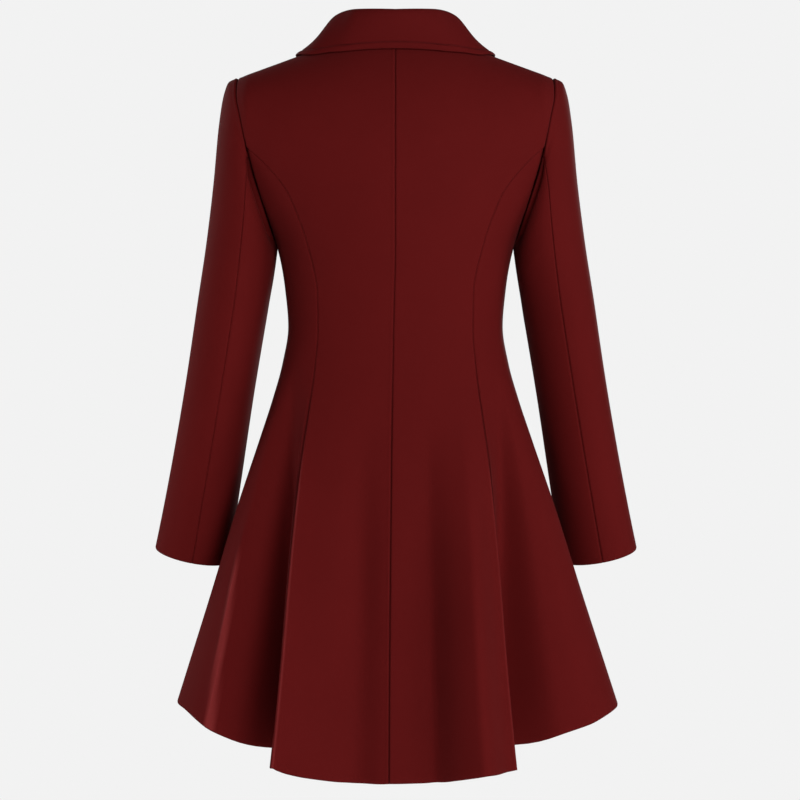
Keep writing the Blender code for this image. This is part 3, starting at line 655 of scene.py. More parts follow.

# soft creases on the body: a line down the cloth from one station and height
# to another, how far it spreads to each side, and how far it stands out
CREASE_COLUMNS = ("side", "top_station", "top_z", "low_station", "low_z",
                  "spread", "height")
CREASES = (
    (+1, 4.026, -0.548, 3.803, -0.878, 0.086, 0.0046),
    (+1, 5.75, -0.480, 5.90, -0.800, 0.20, 0.0013),
    (+1, 6.62, -0.560, 6.52, -0.800, 0.16, -0.0013),
    (+1, 7.70, -0.560, 7.62, -0.790, 0.22, 0.0012),
    (+1, 8.30, -0.620, 8.26, -0.790, 0.20, -0.0012),
    (-1, 5.60, -0.500, 5.68, -0.800, 0.18, 0.0013),
    (-1, 6.42, -0.520, 6.30, -0.800, 0.18, -0.0013),
    (-1, 7.60, -0.540, 7.72, -0.790, 0.24, 0.0013),
)

# soft creases across the front of the sleeves, at the bend of the arm: turn
# (degrees from the outermost line), height, reach round the sleeve, spread up
# and down it, slant and depth
SLEEVE_CREASE_COLUMNS = ("side", "turn", "z", "reach", "spread", "slant",
                         "depth")
SLEEVE_CREASES = (
    (+1, -116.0, -0.292, 30.0, 0.0095, 0.020, -0.0013),
    (+1, -100.0, -0.330, 36.0, 0.0115, 0.014, -0.0016),
    (+1, -112.0, -0.366, 28.0, 0.0095, 0.006, -0.0011),
    (-1, -112.0, -0.300, 32.0, 0.0100, 0.016, -0.0014),
    (-1, -96.0, -0.341, 34.0, 0.0115, 0.010, -0.0015),
    (-1, -116.0, -0.378, 28.0, 0.0090, 0.004, -0.0010),
)


def smooth(t):
    t = np.clip(t, 0.0, 1.0)
    return t * t * (3 - 2 * t)


def unit(v):
    return v / np.maximum(np.linalg.norm(v, axis=-1, keepdims=True), 1e-12)


def normals_of(grid, orient):
    du = np.gradient(grid, axis=1)
    dv = np.gradient(grid, axis=0)
    return unit(np.cross(du, dv)) * orient


def runs(grid, axis):
    """Length along a grid's rows or columns, from the first point."""
    step = np.linalg.norm(np.diff(grid, axis=axis), axis=-1)
    zero = np.zeros_like(np.take(step, [0], axis=axis))
    return np.concatenate((zero, np.cumsum(step, axis=axis)), axis=axis)


def columns_between(side, q_in, q_out, z, inset_in, inset_out, mid, corner=None,
                    probe_in=0.0):
    """Stations of one row: close together beside both edges."""
    d = np.array(EDGE_STEPS)
    first = q_in + station_step(side, q_in + probe_in, z, 1.0) * (inset_in + d)
    last = q_out - station_step(side, q_out, z, 1.0) * (inset_out + d)
    share = np.linspace(0, 1, mid + 2)[1:-1]
    if corner is None:
        middle = first[-1] + (last[-1] - first[-1]) * share
    else:
        near = int(round((corner - q_in) / (q_out - q_in) * (mid - 1)))
        middle = np.interp(np.arange(mid), [-1, near, mid],
                           [first[-1], corner, last[-1]])
    return np.concatenate((first, middle, last[::-1]))


def crease_lift(side, q, z):
    lift = np.zeros(np.broadcast(q, z).shape)
    for c_side, q_top, z_top, q_low, z_low, spread, height in CREASES:
        if c_side != side:
            continue
        t = (z_top - z) / (z_top - z_low)
        mid = q_top + (q_low - q_top) * t
        ends = smooth(t * 3) * (1 - smooth((t - 1.0) * 4))
        lift = lift + height * ends * np.exp(-((q - mid) / spread) ** 2)
    return lift


def long_grid(side, q_in, q_out, mid, inset_in, inset_out, lift=0.0):
    """Back or front from the hem to the neck and the shoulder seam."""
    probe = np.linspace(q_in, q_out, 600)
    far = np.abs(yoke_x(unmirror(1, probe)[1], np.full(600, math.pi / 2))
                 - NECK_HALF)
    corner = probe[int(np.argmin(far))]
    grid, crease = [], []
    q_yoke = columns_between(side, q_in, q_out, BLADE_Z, inset_in, inset_out,
                             mid, corner)
    top = yoke_top(q_yoke) - SEAM_SHUT / 2 / 0.11
    for j in range(LOW_ROWS + YOKE_ROWS + 1):
        if j <= LOW_ROWS:
            v = j / LOW_ROWS
            z_in = float(hem_z(side, q_in))
            z_row = z_in + (BLADE_Z - z_in) * v
            end = q_out
            if q_out > 9.0:
                end = 9.0 + float(station_step(side, 9.0, z_row, WRAP))
            q = columns_between(side, q_in, end, z_row, inset_in, inset_out,
                                mid, corner)
            z = hem_z(side, q)
            z = z + (BLADE_Z - z) * v
            row = ring_point(side, q, z)
            crease.append(crease_lift(side, q, z))
        else:
            v = (j - LOW_ROWS) / YOKE_ROWS
            v = 1 - (1 - v) ** 1.25
            q = q_yoke
            row = yoke_point(side, q, top * v)
            crease.append(np.zeros(len(q)))
        if lift:
            t = smooth((q - 8.3) / 0.5)
            row[..., 1] -= lift * t
        grid.append(row)
    return np.array(grid), np.array(crease)


def side_grid(side, q_in, q_out, mid, tuck):
    """Side back or side front from the hem up to the armhole."""
    grid, crease = [], []
    q_all = np.linspace(q_in - 0.02, q_out + 0.02, 500)
    top_all = side_top(q_all)
    z_in, z_top = float(hem_z(side, q_in)), float(np.interp(q_in, q_all, top_all))
    for j in range(LOW_ROWS + 1):
        v = j / LOW_ROWS
        v = 1 - (1 - v) ** 1.12
        z_row = z_in + (z_top - z_in) * v
        first = SEAM_SHUT / 2 + tuck * np.clip(fold_growth(z_row) * 3, 0, 1)
        q = columns_between(side, q_in, q_out, z_row, first, SEAM_SHUT / 2,
                            mid, None, 0.02 if tuck else 0.0)
        top = np.interp(q, q_all, top_all) - 0.0004
        hem = hem_z(side, q)
        z = hem + (top - hem) * v
        grid.append(ring_point(side, q, z))
        crease.append(crease_lift(side, q, z))
    return np.array(grid), np.array(crease)


def sleeve_sink(theta, ring):
    """How far the sleeve sinks behind the arm, close beside the armhole."""
    turn = np.degrees(theta)
    around = soft_step((turn - 88.0) / 18.0) * soft_step((172.0 - turn) / 18.0)
    return -ARMHOLE_SINK * around * soft_step((ring - 0.03) / 0.30) \
        * np.clip(1 - ring / 3.3, 0, 1) ** 2


def sleeve_crease(side, theta, z):
    """How far the sleeve's cloth sinks in its creases."""
    move = np.zeros_like(z)
    turn = np.degrees(theta)
    turn = np.where(turn > 180.0, turn - 360.0, turn)
    for c_side, at, height, reach, spread, slant, depth in SLEEVE_CREASES:
        if c_side == side:
            round_it = (turn - at) / reach
            down = (z - height - slant * round_it) / spread
            move += depth * (np.exp(-down ** 2)
                             - 0.45 * np.exp(-(down - 1.7) ** 2)) \
                * np.exp(-round_it ** 2)
    return move


def sleeve_grid(side, part, mid):
    last = len(SLEEVE) - 1
    rings = last * np.linspace(0, 1, SLEEVE_ROWS) ** 1.2
    rings = rings + 0.03 * (1 - rings / last)
    grid, crease = [], []
    for ring in rings:
        c = float(sleeve_at["half_depth"](ring))
        theta_in, theta_out = (float(x) for x in
                               sleeve_span(part, ring, side))
        d = (np.array(EDGE_STEPS) + SEAM_SHUT / 2) / (c * 0.9)
        share = np.linspace(0, 1, mid + 2)[1:-1]
        first, end = theta_in + d, theta_out - d
        theta = np.concatenate((first, first[-1] + (end[-1] - first[-1]) * share,
                                end[::-1]))
        row = sleeve_point(theta, ring, side)
        row[..., 0] *= side
        grid.append(row)
        crease.append(sleeve_crease(side, theta, row[..., 2])
                      + sleeve_sink(theta, ring))
    return np.array(grid), np.array(crease)


# --------------------------------------------------------------- mesh pieces
ROOT = "root"


def edge_profile(outer, inner, out_dir, segments=4):
    """Points of a half-round rim between the two faces of the cloth."""
    middle = (outer + inner) / 2
    arm = (outer - inner) / 2
    r = np.linalg.norm(arm, axis=-1, keepdims=True)
    return [middle + arm * math.cos(a) + out_dir * r * math.sin(a)
            for a in np.linspace(0, math.pi, segments + 1)[1:-1]]


def shell_mesh(name, outer, inner, rounded=(), seam=None, fold=None):
    """A closed shell through two grids.  rounded names the edges that get a
    half-round rim: low, high, first, last."""
    rows, cols = outer.shape[:2]
    n = rows * cols
    points = [outer.reshape(-1, 3), inner.reshape(-1, 3)]
    index = np.arange(n).reshape(rows, cols)
    under = index + n
    faces = []
    a, b, c, d = index[:-1, :-1], index[:-1, 1:], index[1:, 1:], index[1:, :-1]
    faces += np.stack((a, b, c, d), -1).reshape(-1, 4).tolist()
    faces += (np.stack((a, d, c, b), -1).reshape(-1, 4) + n).tolist()
    total = 2 * n
    borders = {
        "low": (index[0, :], under[0, :], outer[0], inner[0], outer[0] - outer[1]),
        "high": (index[-1, ::-1], under[-1, ::-1], outer[-1, ::-1],
                 inner[-1, ::-1], (outer[-1] - outer[-2])[::-1]),
        "first": (index[::-1, 0], under[::-1, 0], outer[::-1, 0],
                  inner[::-1, 0], (outer[:, 0] - outer[:, 1])[::-1]),
        "last": (index[:, -1], under[:, -1], outer[:, -1], inner[:, -1],
                 outer[:, -1] - outer[:, -2])}
    rim_from = {}
    for edge, (top, low, p_top, p_low, away) in borders.items():
        lines = [top]
        if edge in rounded:
            for pts in edge_profile(p_top, p_low, unit(away)):
                points.append(pts)
                lines.append(np.arange(total, total + len(pts)))
                total += len(pts)
        lines.append(low)
        rim_from[edge] = len(faces)
        for one, two in zip(lines[:-1], lines[1:]):
            faces += np.stack((one[:-1], two[:-1], two[1:], one[1:]),
                              -1).tolist()
        if edge in rounded:
            faces.append([int(l[0]) for l in lines[::-1]])
            faces.append([int(l[-1]) for l in lines])
    mesh = bpy.data.meshes.new(name)
    mesh.from_pydata(np.concatenate(points).tolist(), [], faces)
    bm = bmesh.new()
    bm.from_mesh(mesh)
    bmesh.ops.recalc_face_normals(bm, faces=bm.faces[:])
    if bm.calc_volume(signed=True) < 0:
        bmesh.ops.reverse_faces(bm, faces=bm.faces[:])
    bm.to_mesh(mesh)
    bm.free()
    # cloth coordinates in metres, and a packed map
    run_u, run_v = runs(outer, 1), runs(outer, 0)
    run_u = run_u - run_u[:, cols // 2][:, None]
    u_m = np.concatenate((run_u.ravel(), run_u.ravel(),
                          np.zeros(total - 2 * n)))
    v_m = np.concatenate((run_v.ravel(), run_v.ravel(),
                          np.zeros(total - 2 * n)))
    jj, ii = np.mgrid[0:rows, 0:cols]
    pu, pv = ii / (cols - 1), jj / (rows - 1)
    packed = np.zeros((total, 2))
    packed[:n, 0] = 0.01 + 0.56 * pu.ravel()
    packed[:n, 1] = 0.01 + 0.98 * pv.ravel()
    packed[n:2 * n, 0] = 0.62 + 0.37 * pu.ravel()
    packed[n:2 * n, 1] = 0.01 + 0.98 * pv.ravel()
    k = np.arange(total - 2 * n)
    packed[2 * n:, 0] = 0.595
    packed[2 * n:, 1] = (k % 997) / 997
    corner = np.zeros(len(mesh.loops), np.int32)
    mesh.loops.foreach_get("vertex_index", corner)
    for layer, data in (("cloth_m", np.stack((u_m, v_m), -1)),
                        ("OFBake", packed)):
        uv = mesh.uv_layers.new(name=layer)
        uv.uv.foreach_set("vector", data[corner].astype(np.float32).ravel())
    # seam carries painted shade along seams and stitching, fold a painted highlight on
    # crests
    for label, values in (("seam", seam), ("fold", fold)):
        full = np.zeros(total)
        if values is not None:
            full[:n] = values.ravel()
        attr = mesh.attributes.new(label, "FLOAT", "POINT")
        attr.data.foreach_set("value", full.astype(np.float32))
    inside = mesh.attributes.new("inside", "FLOAT", "POINT")
    full = np.zeros(total)
    full[n:2 * n] = 1.0
    inside.data.foreach_set("value", full.astype(np.float32))
    mesh.shade_smooth()
    mesh.set_sharp_from_angle(angle=math.radians(48))
    return mesh


def show(name, mesh, material, nodes):
    obj = bpy.data.objects.new(name, mesh)
    bpy.context.scene.collection.objects.link(obj)
    mesh.materials.clear()
    mesh.materials.append(material)
    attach(obj, ROOT)
    if nodes:
        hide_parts(*nodes)
    return obj


def dip(run, depth, width):
    """How far cloth rolls in beside a seam, by the way from its edge."""
    t = np.clip(1 - run / width, 0, 1)
    return -depth * t * t


def swell(run, height, at, width):
    return height * np.exp(-((run - at) / width) ** 2)


def panel(name, grid, crease, side, rolls, wall=WALL, hem=True, rounded=(),
          crest=None, ply=1.0):
    """A cloth panel.  rolls gives, for each edge, the depth and width of its
    roll (numbers or one value a row), the height of the swell beside it, and
    if it differs the strength and width of its painted shade line.  crest is
    the strength of a painted highlight along the last edge, one value a row,
    and ply the share of the hem's turn-up that is left on."""
    orient = -side
    normal = normals_of(grid, orient)
    run_u, run_v = runs(grid, 1), runs(grid, 0)
    edge_run = {"first": run_u, "last": run_u[:, -1:] - run_u,
                "low": run_v, "high": run_v[-1:, :] - run_v}
    move = crease.copy() if crease is not None else np.zeros(grid.shape[:2])
    # seam collects painted shade along each rolled edge
    seam = np.zeros(grid.shape[:2])
    for edge, (depth, width, height, *dark) in rolls.items():
        run = edge_run[edge]
        dark, spread = dark or (1.0, SEAM_SHADE_SPREAD)
        dark, spread = (np.reshape(x, (-1, 1)) for x in (dark, spread))
        depth, width, height = (np.asarray(x, float) for x in
                                (depth, width, height))
        if edge in ("first", "last"):
            depth, width, height = (x[:, None] if x.ndim else x
                                    for x in (depth, width, height))
        move = move + dip(run, depth, width)
        move = move + swell(run, height, width * 1.15, width * 0.55)
        seam = np.maximum(seam, dark * np.exp(-(run / spread) ** 2))
    outer = grid + normal * move[..., None]
    thick = np.full(grid.shape[:2], wall)
    if hem:
        thick = thick + ply * HEM_PLY * smooth((HEM_TURN - run_v) / 0.0025)
    if crease is not None:
        normal = normals_of(grid + normal * crease[..., None], orient)
    inner = outer - normal * thick[..., None]
    lean = {"first": (slice(None), 0, 1), "last": (slice(None), -1, -2)}
    for edge in rolls:
        if edge in lean:
            _, at, near = lean[edge]
            inner[:, at] += unit(grid[:, at] - grid[:, near]) * SEAM_LEAN
        elif edge == "high":
            inner[-1] += unit(grid[-1] - grid[-2]) * SEAM_LEAN
    # painted highlight on the crests of the creases, and along the last edge as crest
    # gives it
    painted_highlight = None
    if crease is not None:
        painted_highlight = smooth((crease - HIGHLIGHT_CREASE * 0.3) / (HIGHLIGHT_CREASE * 0.7))
        if crest is not None:
            edge = np.exp(-((edge_run["last"] - 0.0008) / 0.0010) ** 2)
            painted_highlight = np.maximum(painted_highlight, crest[:, None] * edge)
    return shell_mesh(name, outer, inner, rounded, seam, painted_highlight)

# ================================================================= materials
def node(tree, kind, at, **values):
    n = tree.nodes.new(kind)
    n.location = at
    for key, value in values.items():
        setattr(n, key, value)
    return n


def cloth_material(name, colour, nap_height=0.00022, depth=0.8):
    """Milled wool: mottled yarn, a short nap brushed down the cloth, painted
    shade along the seam and stitch lines and painted highlights on crests."""
    mat = bpy.data.materials.new(name)
    mat.use_nodes = True
    tree = mat.node_tree
    link = tree.links.new
    shader = tree.nodes["Principled BSDF"]
    shader.inputs["Roughness"].default_value = 0.78
    shader.inputs["Specular IOR Level"].default_value = 0.02
    shader.inputs["Sheen Weight"].default_value = 0.03
    shader.inputs["Sheen Roughness"].default_value = 0.45
    shader.inputs["Sheen Tint"].default_value = (1.0, 0.42, 0.42, 1.0)
    where = node(tree, "ShaderNodeTexCoord", (-1500, 0))
    yarn = node(tree, "ShaderNodeTexNoise", (-1200, 260))
    yarn.inputs["Scale"].default_value = 820.0
    yarn.inputs["Detail"].default_value = 3.0
    cloud = node(tree, "ShaderNodeTexNoise", (-1200, 20))
    cloud.inputs["Scale"].default_value = 16.0
    cloud.inputs["Detail"].default_value = 2.0
    brush = node(tree, "ShaderNodeMapping", (-1350, -220))
    brush.inputs["Scale"].default_value = (1.0, 1.0, 0.16)
    nap = node(tree, "ShaderNodeTexNoise", (-1150, -220))
    nap.inputs["Scale"].default_value = 420.0
    nap.inputs["Detail"].default_value = 4.0
    for tex in (yarn, cloud):
        link(where.outputs["Object"], tex.inputs["Vector"])
    link(where.outputs["Object"], brush.inputs["Vector"])
    link(brush.outputs["Vector"], nap.inputs["Vector"])
    # colour: mottle of the yarn over a slow cloud
    dark = [c * 0.90 for c in colour[:3]] + [1.0]
    light = [min(c * 1.10, 1.0) for c in colour[:3]] + [1.0]
    mottle = node(tree, "ShaderNodeMix", (-700, 260), data_type="RGBA")
    mottle.inputs["A"].default_value = dark
    mottle.inputs["B"].default_value = light
    add = node(tree, "ShaderNodeMath", (-950, 200), operation="ADD")
    half = node(tree, "ShaderNodeMath", (-820, 200), operation="MULTIPLY")
    half.inputs[1].default_value = 0.5
    link(yarn.outputs["Fac"], add.inputs[0])
    link(cloud.outputs["Fac"], add.inputs[1])
    link(add.outputs[0], half.inputs[0])
    link(half.outputs[0], mottle.inputs["Factor"])
    # painted shade along the seam and stitch lines: the colour drops towards a quarter
    seam = node(tree, "ShaderNodeAttribute", (-700, 20),
                attribute_name="seam")
    amount = node(tree, "ShaderNodeMath", (-520, 20), operation="MULTIPLY")
    amount.inputs[1].default_value = depth
    link(seam.outputs["Fac"], amount.inputs[0])
    seam_shade = node(tree, "ShaderNodeMix", (-350, 200), data_type="RGBA")
    seam_shade.inputs["B"].default_value = [c * 0.25 for c in colour[:3]] + [1.0]
    link(amount.outputs[0], seam_shade.inputs["Factor"])
    link(mottle.outputs["Result"], seam_shade.inputs["A"])
    # painted highlight on crease crests and the back panels' crest edge, lighter and
    # greyer
    crest = node(tree, "ShaderNodeAttribute", (-520, 380),
                 attribute_name="fold")
    painted_highlight = node(tree, "ShaderNodeMix", (-250, 380), data_type="RGBA")
    painted_highlight.inputs["B"].default_value = [min(c * 1.95 + 0.012, 1.0)
                                      for c in colour[:3]] + [1.0]
    link(crest.outputs["Fac"], painted_highlight.inputs["Factor"])
    link(seam_shade.outputs["Result"], painted_highlight.inputs["A"])
    back = node(tree, "ShaderNodeAttribute", (-350, -60),
                attribute_name="inside")
    wrong = node(tree, "ShaderNodeMix", (-150, 120), data_type="RGBA")
    wrong.inputs["B"].default_value = [c * 0.82 for c in colour[:3]] + [1.0]
    link(back.outputs["Fac"], wrong.inputs["Factor"])
    link(painted_highlight.outputs["Result"], wrong.inputs["A"])
    link(wrong.outputs["Result"], shader.inputs["Base Color"])
    # relief: nap over yarn
    blend = node(tree, "ShaderNodeMath", (-900, -220), operation="ADD")
    link(nap.outputs["Fac"], blend.inputs[0])
    link(yarn.outputs["Fac"], blend.inputs[1])
    bump = node(tree, "ShaderNodeBump", (-300, -260))
    bump.inputs["Strength"].default_value = 0.35
    bump.inputs["Distance"].default_value = nap_height
    link(blend.outputs[0], bump.inputs["Height"])
    link(bump.outputs["Normal"], shader.inputs["Normal"])
    rough = node(tree, "ShaderNodeMapRange", (-600, -420))
    rough.inputs["To Min"].default_value = 0.70
    rough.inputs["To Max"].default_value = 0.86
    link(nap.outputs["Fac"], rough.inputs["Value"])
    link(rough.outputs["Result"], shader.inputs["Roughness"])
    mat.diffuse_color = colour
    return mat


def resin_material(name, colour):
    mat = bpy.data.materials.new(name)
    mat.use_nodes = True
    tree = mat.node_tree
    link = tree.links.new
    shader = tree.nodes["Principled BSDF"]
    shader.inputs["Specular IOR Level"].default_value = 0.16
    shader.inputs["Coat Weight"].default_value = 0.0
    where = node(tree, "ShaderNodeTexCoord", (-1100, 0))
    swirl = node(tree, "ShaderNodeTexNoise", (-900, 100))
    swirl.inputs["Scale"].default_value = 160.0
    swirl.inputs["Distortion"].default_value = 1.4
    link(where.outputs["Object"], swirl.inputs["Vector"])
    mix = node(tree, "ShaderNodeMix", (-600, 100), data_type="RGBA")
    mix.inputs["A"].default_value = [c * 0.7 for c in colour[:3]] + [1.0]
    mix.inputs["B"].default_value = [c * 1.5 for c in colour[:3]] + [1.0]
    link(swirl.outputs["Fac"], mix.inputs["Factor"])
    link(mix.outputs["Result"], shader.inputs["Base Color"])
    rough = node(tree, "ShaderNodeMapRange", (-600, -120))
    rough.inputs["To Min"].default_value = 0.34
    rough.inputs["To Max"].default_value = 0.42
    link(swirl.outputs["Fac"], rough.inputs["Value"])
    link(rough.outputs["Result"], shader.inputs["Roughness"])
    mat.diffuse_color = colour
    return mat


def thread_material(name, colour):
    mat = bpy.data.materials.new(name)
    mat.use_nodes = True
    tree = mat.node_tree
    link = tree.links.new
    shader = tree.nodes["Principled BSDF"]
    shader.inputs["Specular IOR Level"].default_value = 0.04
    shader.inputs["Roughness"].default_value = 0.5
    shader.inputs["Sheen Weight"].default_value = 0.04
    where = node(tree, "ShaderNodeTexCoord", (-900, 0))
    ply = node(tree, "ShaderNodeTexNoise", (-700, 0))
    ply.inputs["Scale"].default_value = 2400.0
    link(where.outputs["Object"], ply.inputs["Vector"])
    mix = node(tree, "ShaderNodeMix", (-400, 0), data_type="RGBA")
    mix.inputs["A"].default_value = [c * 0.75 for c in colour[:3]] + [1.0]
    mix.inputs["B"].default_value = [c * 1.2 for c in colour[:3]] + [1.0]
    link(ply.outputs["Fac"], mix.inputs["Factor"])
    link(mix.outputs["Result"], shader.inputs["Base Color"])
    mat.diffuse_color = colour
    return mat


CLOTH = cloth_material("burgundy_wool", (0.106, 0.0068, 0.0068, 1.0))
COLLAR_CLOTH = cloth_material("burgundy_wool_collar",
                              (0.099, 0.0064, 0.0065, 1.0))
RESIN = resin_material("button_resin", (0.082, 0.0075, 0.0085, 1.0))
THREAD = thread_material("burgundy_thread", (0.075, 0.0065, 0.0070, 1.0))

# ==================================================================== panels
CUTS = {}
FRONTS = {}
pieces = {}


def princess_shade(z):
    """The painted shade line along the back princess seams is fainter above the waist."""
    return 0.12 + 0.88 * soft_step((-0.34 - z) / 0.12)


def centre_shade(z):
    """So is the centre seam's."""
    return 0.50 + 0.50 * soft_step((-0.38 - z) / 0.10)


SLEEVE_SEAM_SHADE = {1: 0.12, -1: 0.48}    # and the painted shade along the sleeve seams, left and right


def crest_low(z):
    """Where the back panels' edge stands free over the fold behind it."""
    return soft_step((-0.46 - z) / 0.08)


def cut_of(grid):
    """Width, length and area of a panel laid flat, as it shows."""
    a, b = np.diff(grid, axis=0)[:, :-1], np.diff(grid, axis=1)[:-1]
    c, d = np.diff(grid, axis=0)[:, 1:], np.diff(grid, axis=1)[1:]
    area = (np.linalg.norm(np.cross(a, b), axis=-1)
            + np.linalg.norm(np.cross(c, d), axis=-1)).sum() / 2
    width, length = runs(grid, 1)[:, -1].max(), runs(grid, 0)[-1].max()
    return float(width), float(length), float(min(area, width * length))


for side_name, side in (("left", 1), ("right", -1)):
    half = SEAM_SHUT / 2

    # back: centre seam, crest along the princess seam
    grid, crease = long_grid(side, 0.0, 2.0, MID_BACK, half, half)
    z_col = grid[:, -1, 2]
    grow = np.clip(fold_growth(z_col), 0, 1.0)
    # painted shade along the centre and princess seams, left off low down where the
    # crest's edge gets a painted highlight
    rolls = {
        "first": (0.0009, 0.0021, 0.0004 if side > 0 else 0.0,
                  centre_shade(grid[:, 0, 2]), SEAM_SHADE_SPREAD),
        "last": (0.0009 + 0.0004 * grow, 0.0022 + 0.0006 * grow,
                 0.00015 + 0.0001 * grow,
                 princess_shade(z_col) * (1 - crest_low(z_col)), SEAM_SHADE_SPREAD),
        "high": (0.0012, 0.0030, 0.0),
    }
    # crest: a painted highlight along the edge, stronger on the left than on the right
    mesh = panel("back_%s_cloth" % side_name, grid, crease, side, rolls,
                 rounded=("low",),
                 crest=(0.75 if side > 0 else 0.25) * crest_low(z_col))
    pieces["back_" + side_name] = show("back_%s_cloth" % side_name, mesh, CLOTH,
                                       ["back_" + side_name])
    CUTS["back_" + side_name] = cut_of(grid)

    # side back: tucked in behind the crest
    grid, crease = side_grid(side, 2.0, 5.0, MID_SIDE_BACK, WALL * 1.6)
    z_col = grid[:, 0, 2]
    # painted shade along the seam with the back, widening low down where this cloth lies
    # in the crest's shadow
    rolls = {"first": (0.0009, 0.0026, 0.0, princess_shade(z_col),
                       SEAM_SHADE_SPREAD + 0.0028 * crest_low(z_col)),
             "last": (0.0009, 0.0024, 0.0001), "high": (0.0012, 0.0032, 0.0)}
    mesh = panel("side_back_%s_cloth" % side_name, grid, crease, side, rolls,
                 rounded=("low",))
    pieces["side_back_" + side_name] = show(
        "side_back_%s_cloth" % side_name, mesh, CLOTH,
        ["side_back_" + side_name])
    CUTS["side_back_" + side_name] = cut_of(grid)

    # side front
    grid, crease = side_grid(side, 5.0, 7.0, MID_SIDE_FRONT, 0.0)
    rolls = {"first": (0.0009, 0.0024, 0.0001),
             "last": (0.0009, 0.0026, 0.0001),
             "high": (0.0012, 0.0032, 0.0)}
    mesh = panel("side_front_%s_cloth" % side_name, grid, crease, side, rolls,
                 rounded=("low",))
    pieces["side_front_" + side_name] = show(
        "side_front_%s_cloth" % side_name, mesh, CLOTH,
        ["side_front_" + side_name])
    CUTS["side_front_" + side_name] = cut_of(grid)

    # front, right over left
    past = 9.0 + float(station_step(side, 9.0, BLADE_Z, WRAP))
    grid, crease = long_grid(side, 7.0, past, MID_FRONT, half, 0.0,
                             lift=-side * WRAP_LIFT)
    rolls = {"first": (0.0009, 0.0026, 0.0001), "high": (0.0012, 0.0030, 0.0)}
    # the upper front's turn-up is trimmed where it laps over the lower one
    ply = smooth((np.abs(grid[..., 0]) - 0.032) / 0.008) if side < 0 else 1.0
    mesh = panel("front_%s_cloth" % side_name, grid, crease, side, rolls,
                 rounded=("low", "last"), ply=ply)
    pieces["front_" + side_name] = show("front_%s_cloth" % side_name, mesh,
                                        CLOTH, ["front_" + side_name])
    CUTS["front_" + side_name] = cut_of(grid)
    FRONTS[side] = grid

    # sleeves
    for part, mid in (("upper", MID_UPPER), ("under", MID_UNDER)):
        grid, crease = (x[::-1] for x in sleeve_grid(side, part, mid))
        # the sleeve head stands up a little over the seam at the shoulder
        turns = np.linspace(*(float(x) for x in
                              sleeve_span(part, 0.0, side)),
                            grid.shape[1])
        head = 0.0005 * np.exp(-(turns / 0.8) ** 2)
        # painted shade along the sleeve seams, stronger on the right
        dark = SLEEVE_SEAM_SHADE[side]
        rolls = {"first": (0.0008, 0.0020, 0.0001, dark, SEAM_SHADE_SPREAD),
                 "last": (0.0008, 0.0020, 0.0001, dark, SEAM_SHADE_SPREAD),
                 "high": (0.0009, 0.0024, 0.0002 + head)}
        label = "sleeve_%s_%s" % (part, side_name)
        mesh = panel(label + "_cloth", grid, crease, -side, rolls,
                     rounded=("low",))
        pieces[label] = show(label + "_cloth", mesh, CLOTH, [label])
        CUTS[label] = cut_of(grid)

# ==================================================================== collar
def collar_grid():
    turns = np.linspace(-COLLAR_END, COLLAR_END, COLLAR_TURNS + 1)
    seam, roll, edge, out, bulge = collar_section(np.abs(turns))
    up = np.array((0.0, 0.0, 1.0))
    # in front the foot of the stand goes down behind the fronts' neck edge
    sunk = soft_step((np.abs(turns) - 105.0) / 45.0)[:, None]
    seam = seam - up * 0.0085 * sunk - out * 0.0042 * sunk
    stand = (roll - seam)[:, 2:3]
    rows = []
    for t in np.linspace(0, 1, STAND_ROWS + 1)[:-1]:
        rows.append(bezier(seam, seam + up * stand * 0.55,
                           roll - out * 0.0065, roll, t))
    reach = np.linalg.norm(edge - roll, axis=1)[:, None]
    fall = (roll - edge) / reach
    for t in 1 - (1 - np.linspace(0, 1, FALL_ROWS + 1)) ** 1.15:
        rows.append(bezier(roll, roll + bulge[0],
                           edge + fall * reach * 0.45 + bulge[1], edge, t))
    grid = np.array(rows)
    grid[..., 0] *= np.where(turns < 0, -1.0, 1.0)[None, :]
    return grid


grid = collar_grid()
orient = -1.0
normal = normals_of(grid, orient)
probe = normal[STAND_ROWS + FALL_ROWS // 2, COLLAR_TURNS // 2]
if probe[1] < 0:
    orient = 1.0
    normal = normals_of(grid, orient)
run_u, run_v = runs(grid, 1), runs(grid, 0)
to_edge = run_v[-1:, :] - run_v
to_end = np.minimum(run_u, run_u[:, -1:] - run_u)
fall_part = smooth((np.arange(grid.shape[0]) - STAND_ROWS) / 6.0)[:, None]
from_rim = np.minimum(to_edge, np.where(fall_part > 0, to_end, 1.0))
groove = -0.00080 * np.exp(-((from_rim - STITCH_IN) / 0.0008) ** 2)
puff = 0.00035 * np.exp(-((from_rim - STITCH_IN * 0.48) / 0.0024) ** 2)
move = (groove + puff) * fall_part
thin = -0.0002 * np.exp(-(from_rim / 0.0012) ** 2) * fall_part
outer = grid + normal * (COLLAR_WALL / 2 + move + thin)[..., None]
inner = grid - normal * (COLLAR_WALL / 2 + thin)[..., None]
# painted shade along the groove of the edge stitching
mesh = shell_mesh("collar_cloth", outer, inner, ("high", "first", "last"),
                  0.8 * np.exp(-((from_rim - STITCH_IN) / 0.0007) ** 2)
                  * fall_part, None)
pieces["collar"] = show("collar_cloth", mesh, COLLAR_CLOTH, ["collar"])
CUTS["collar"] = cut_of(grid)


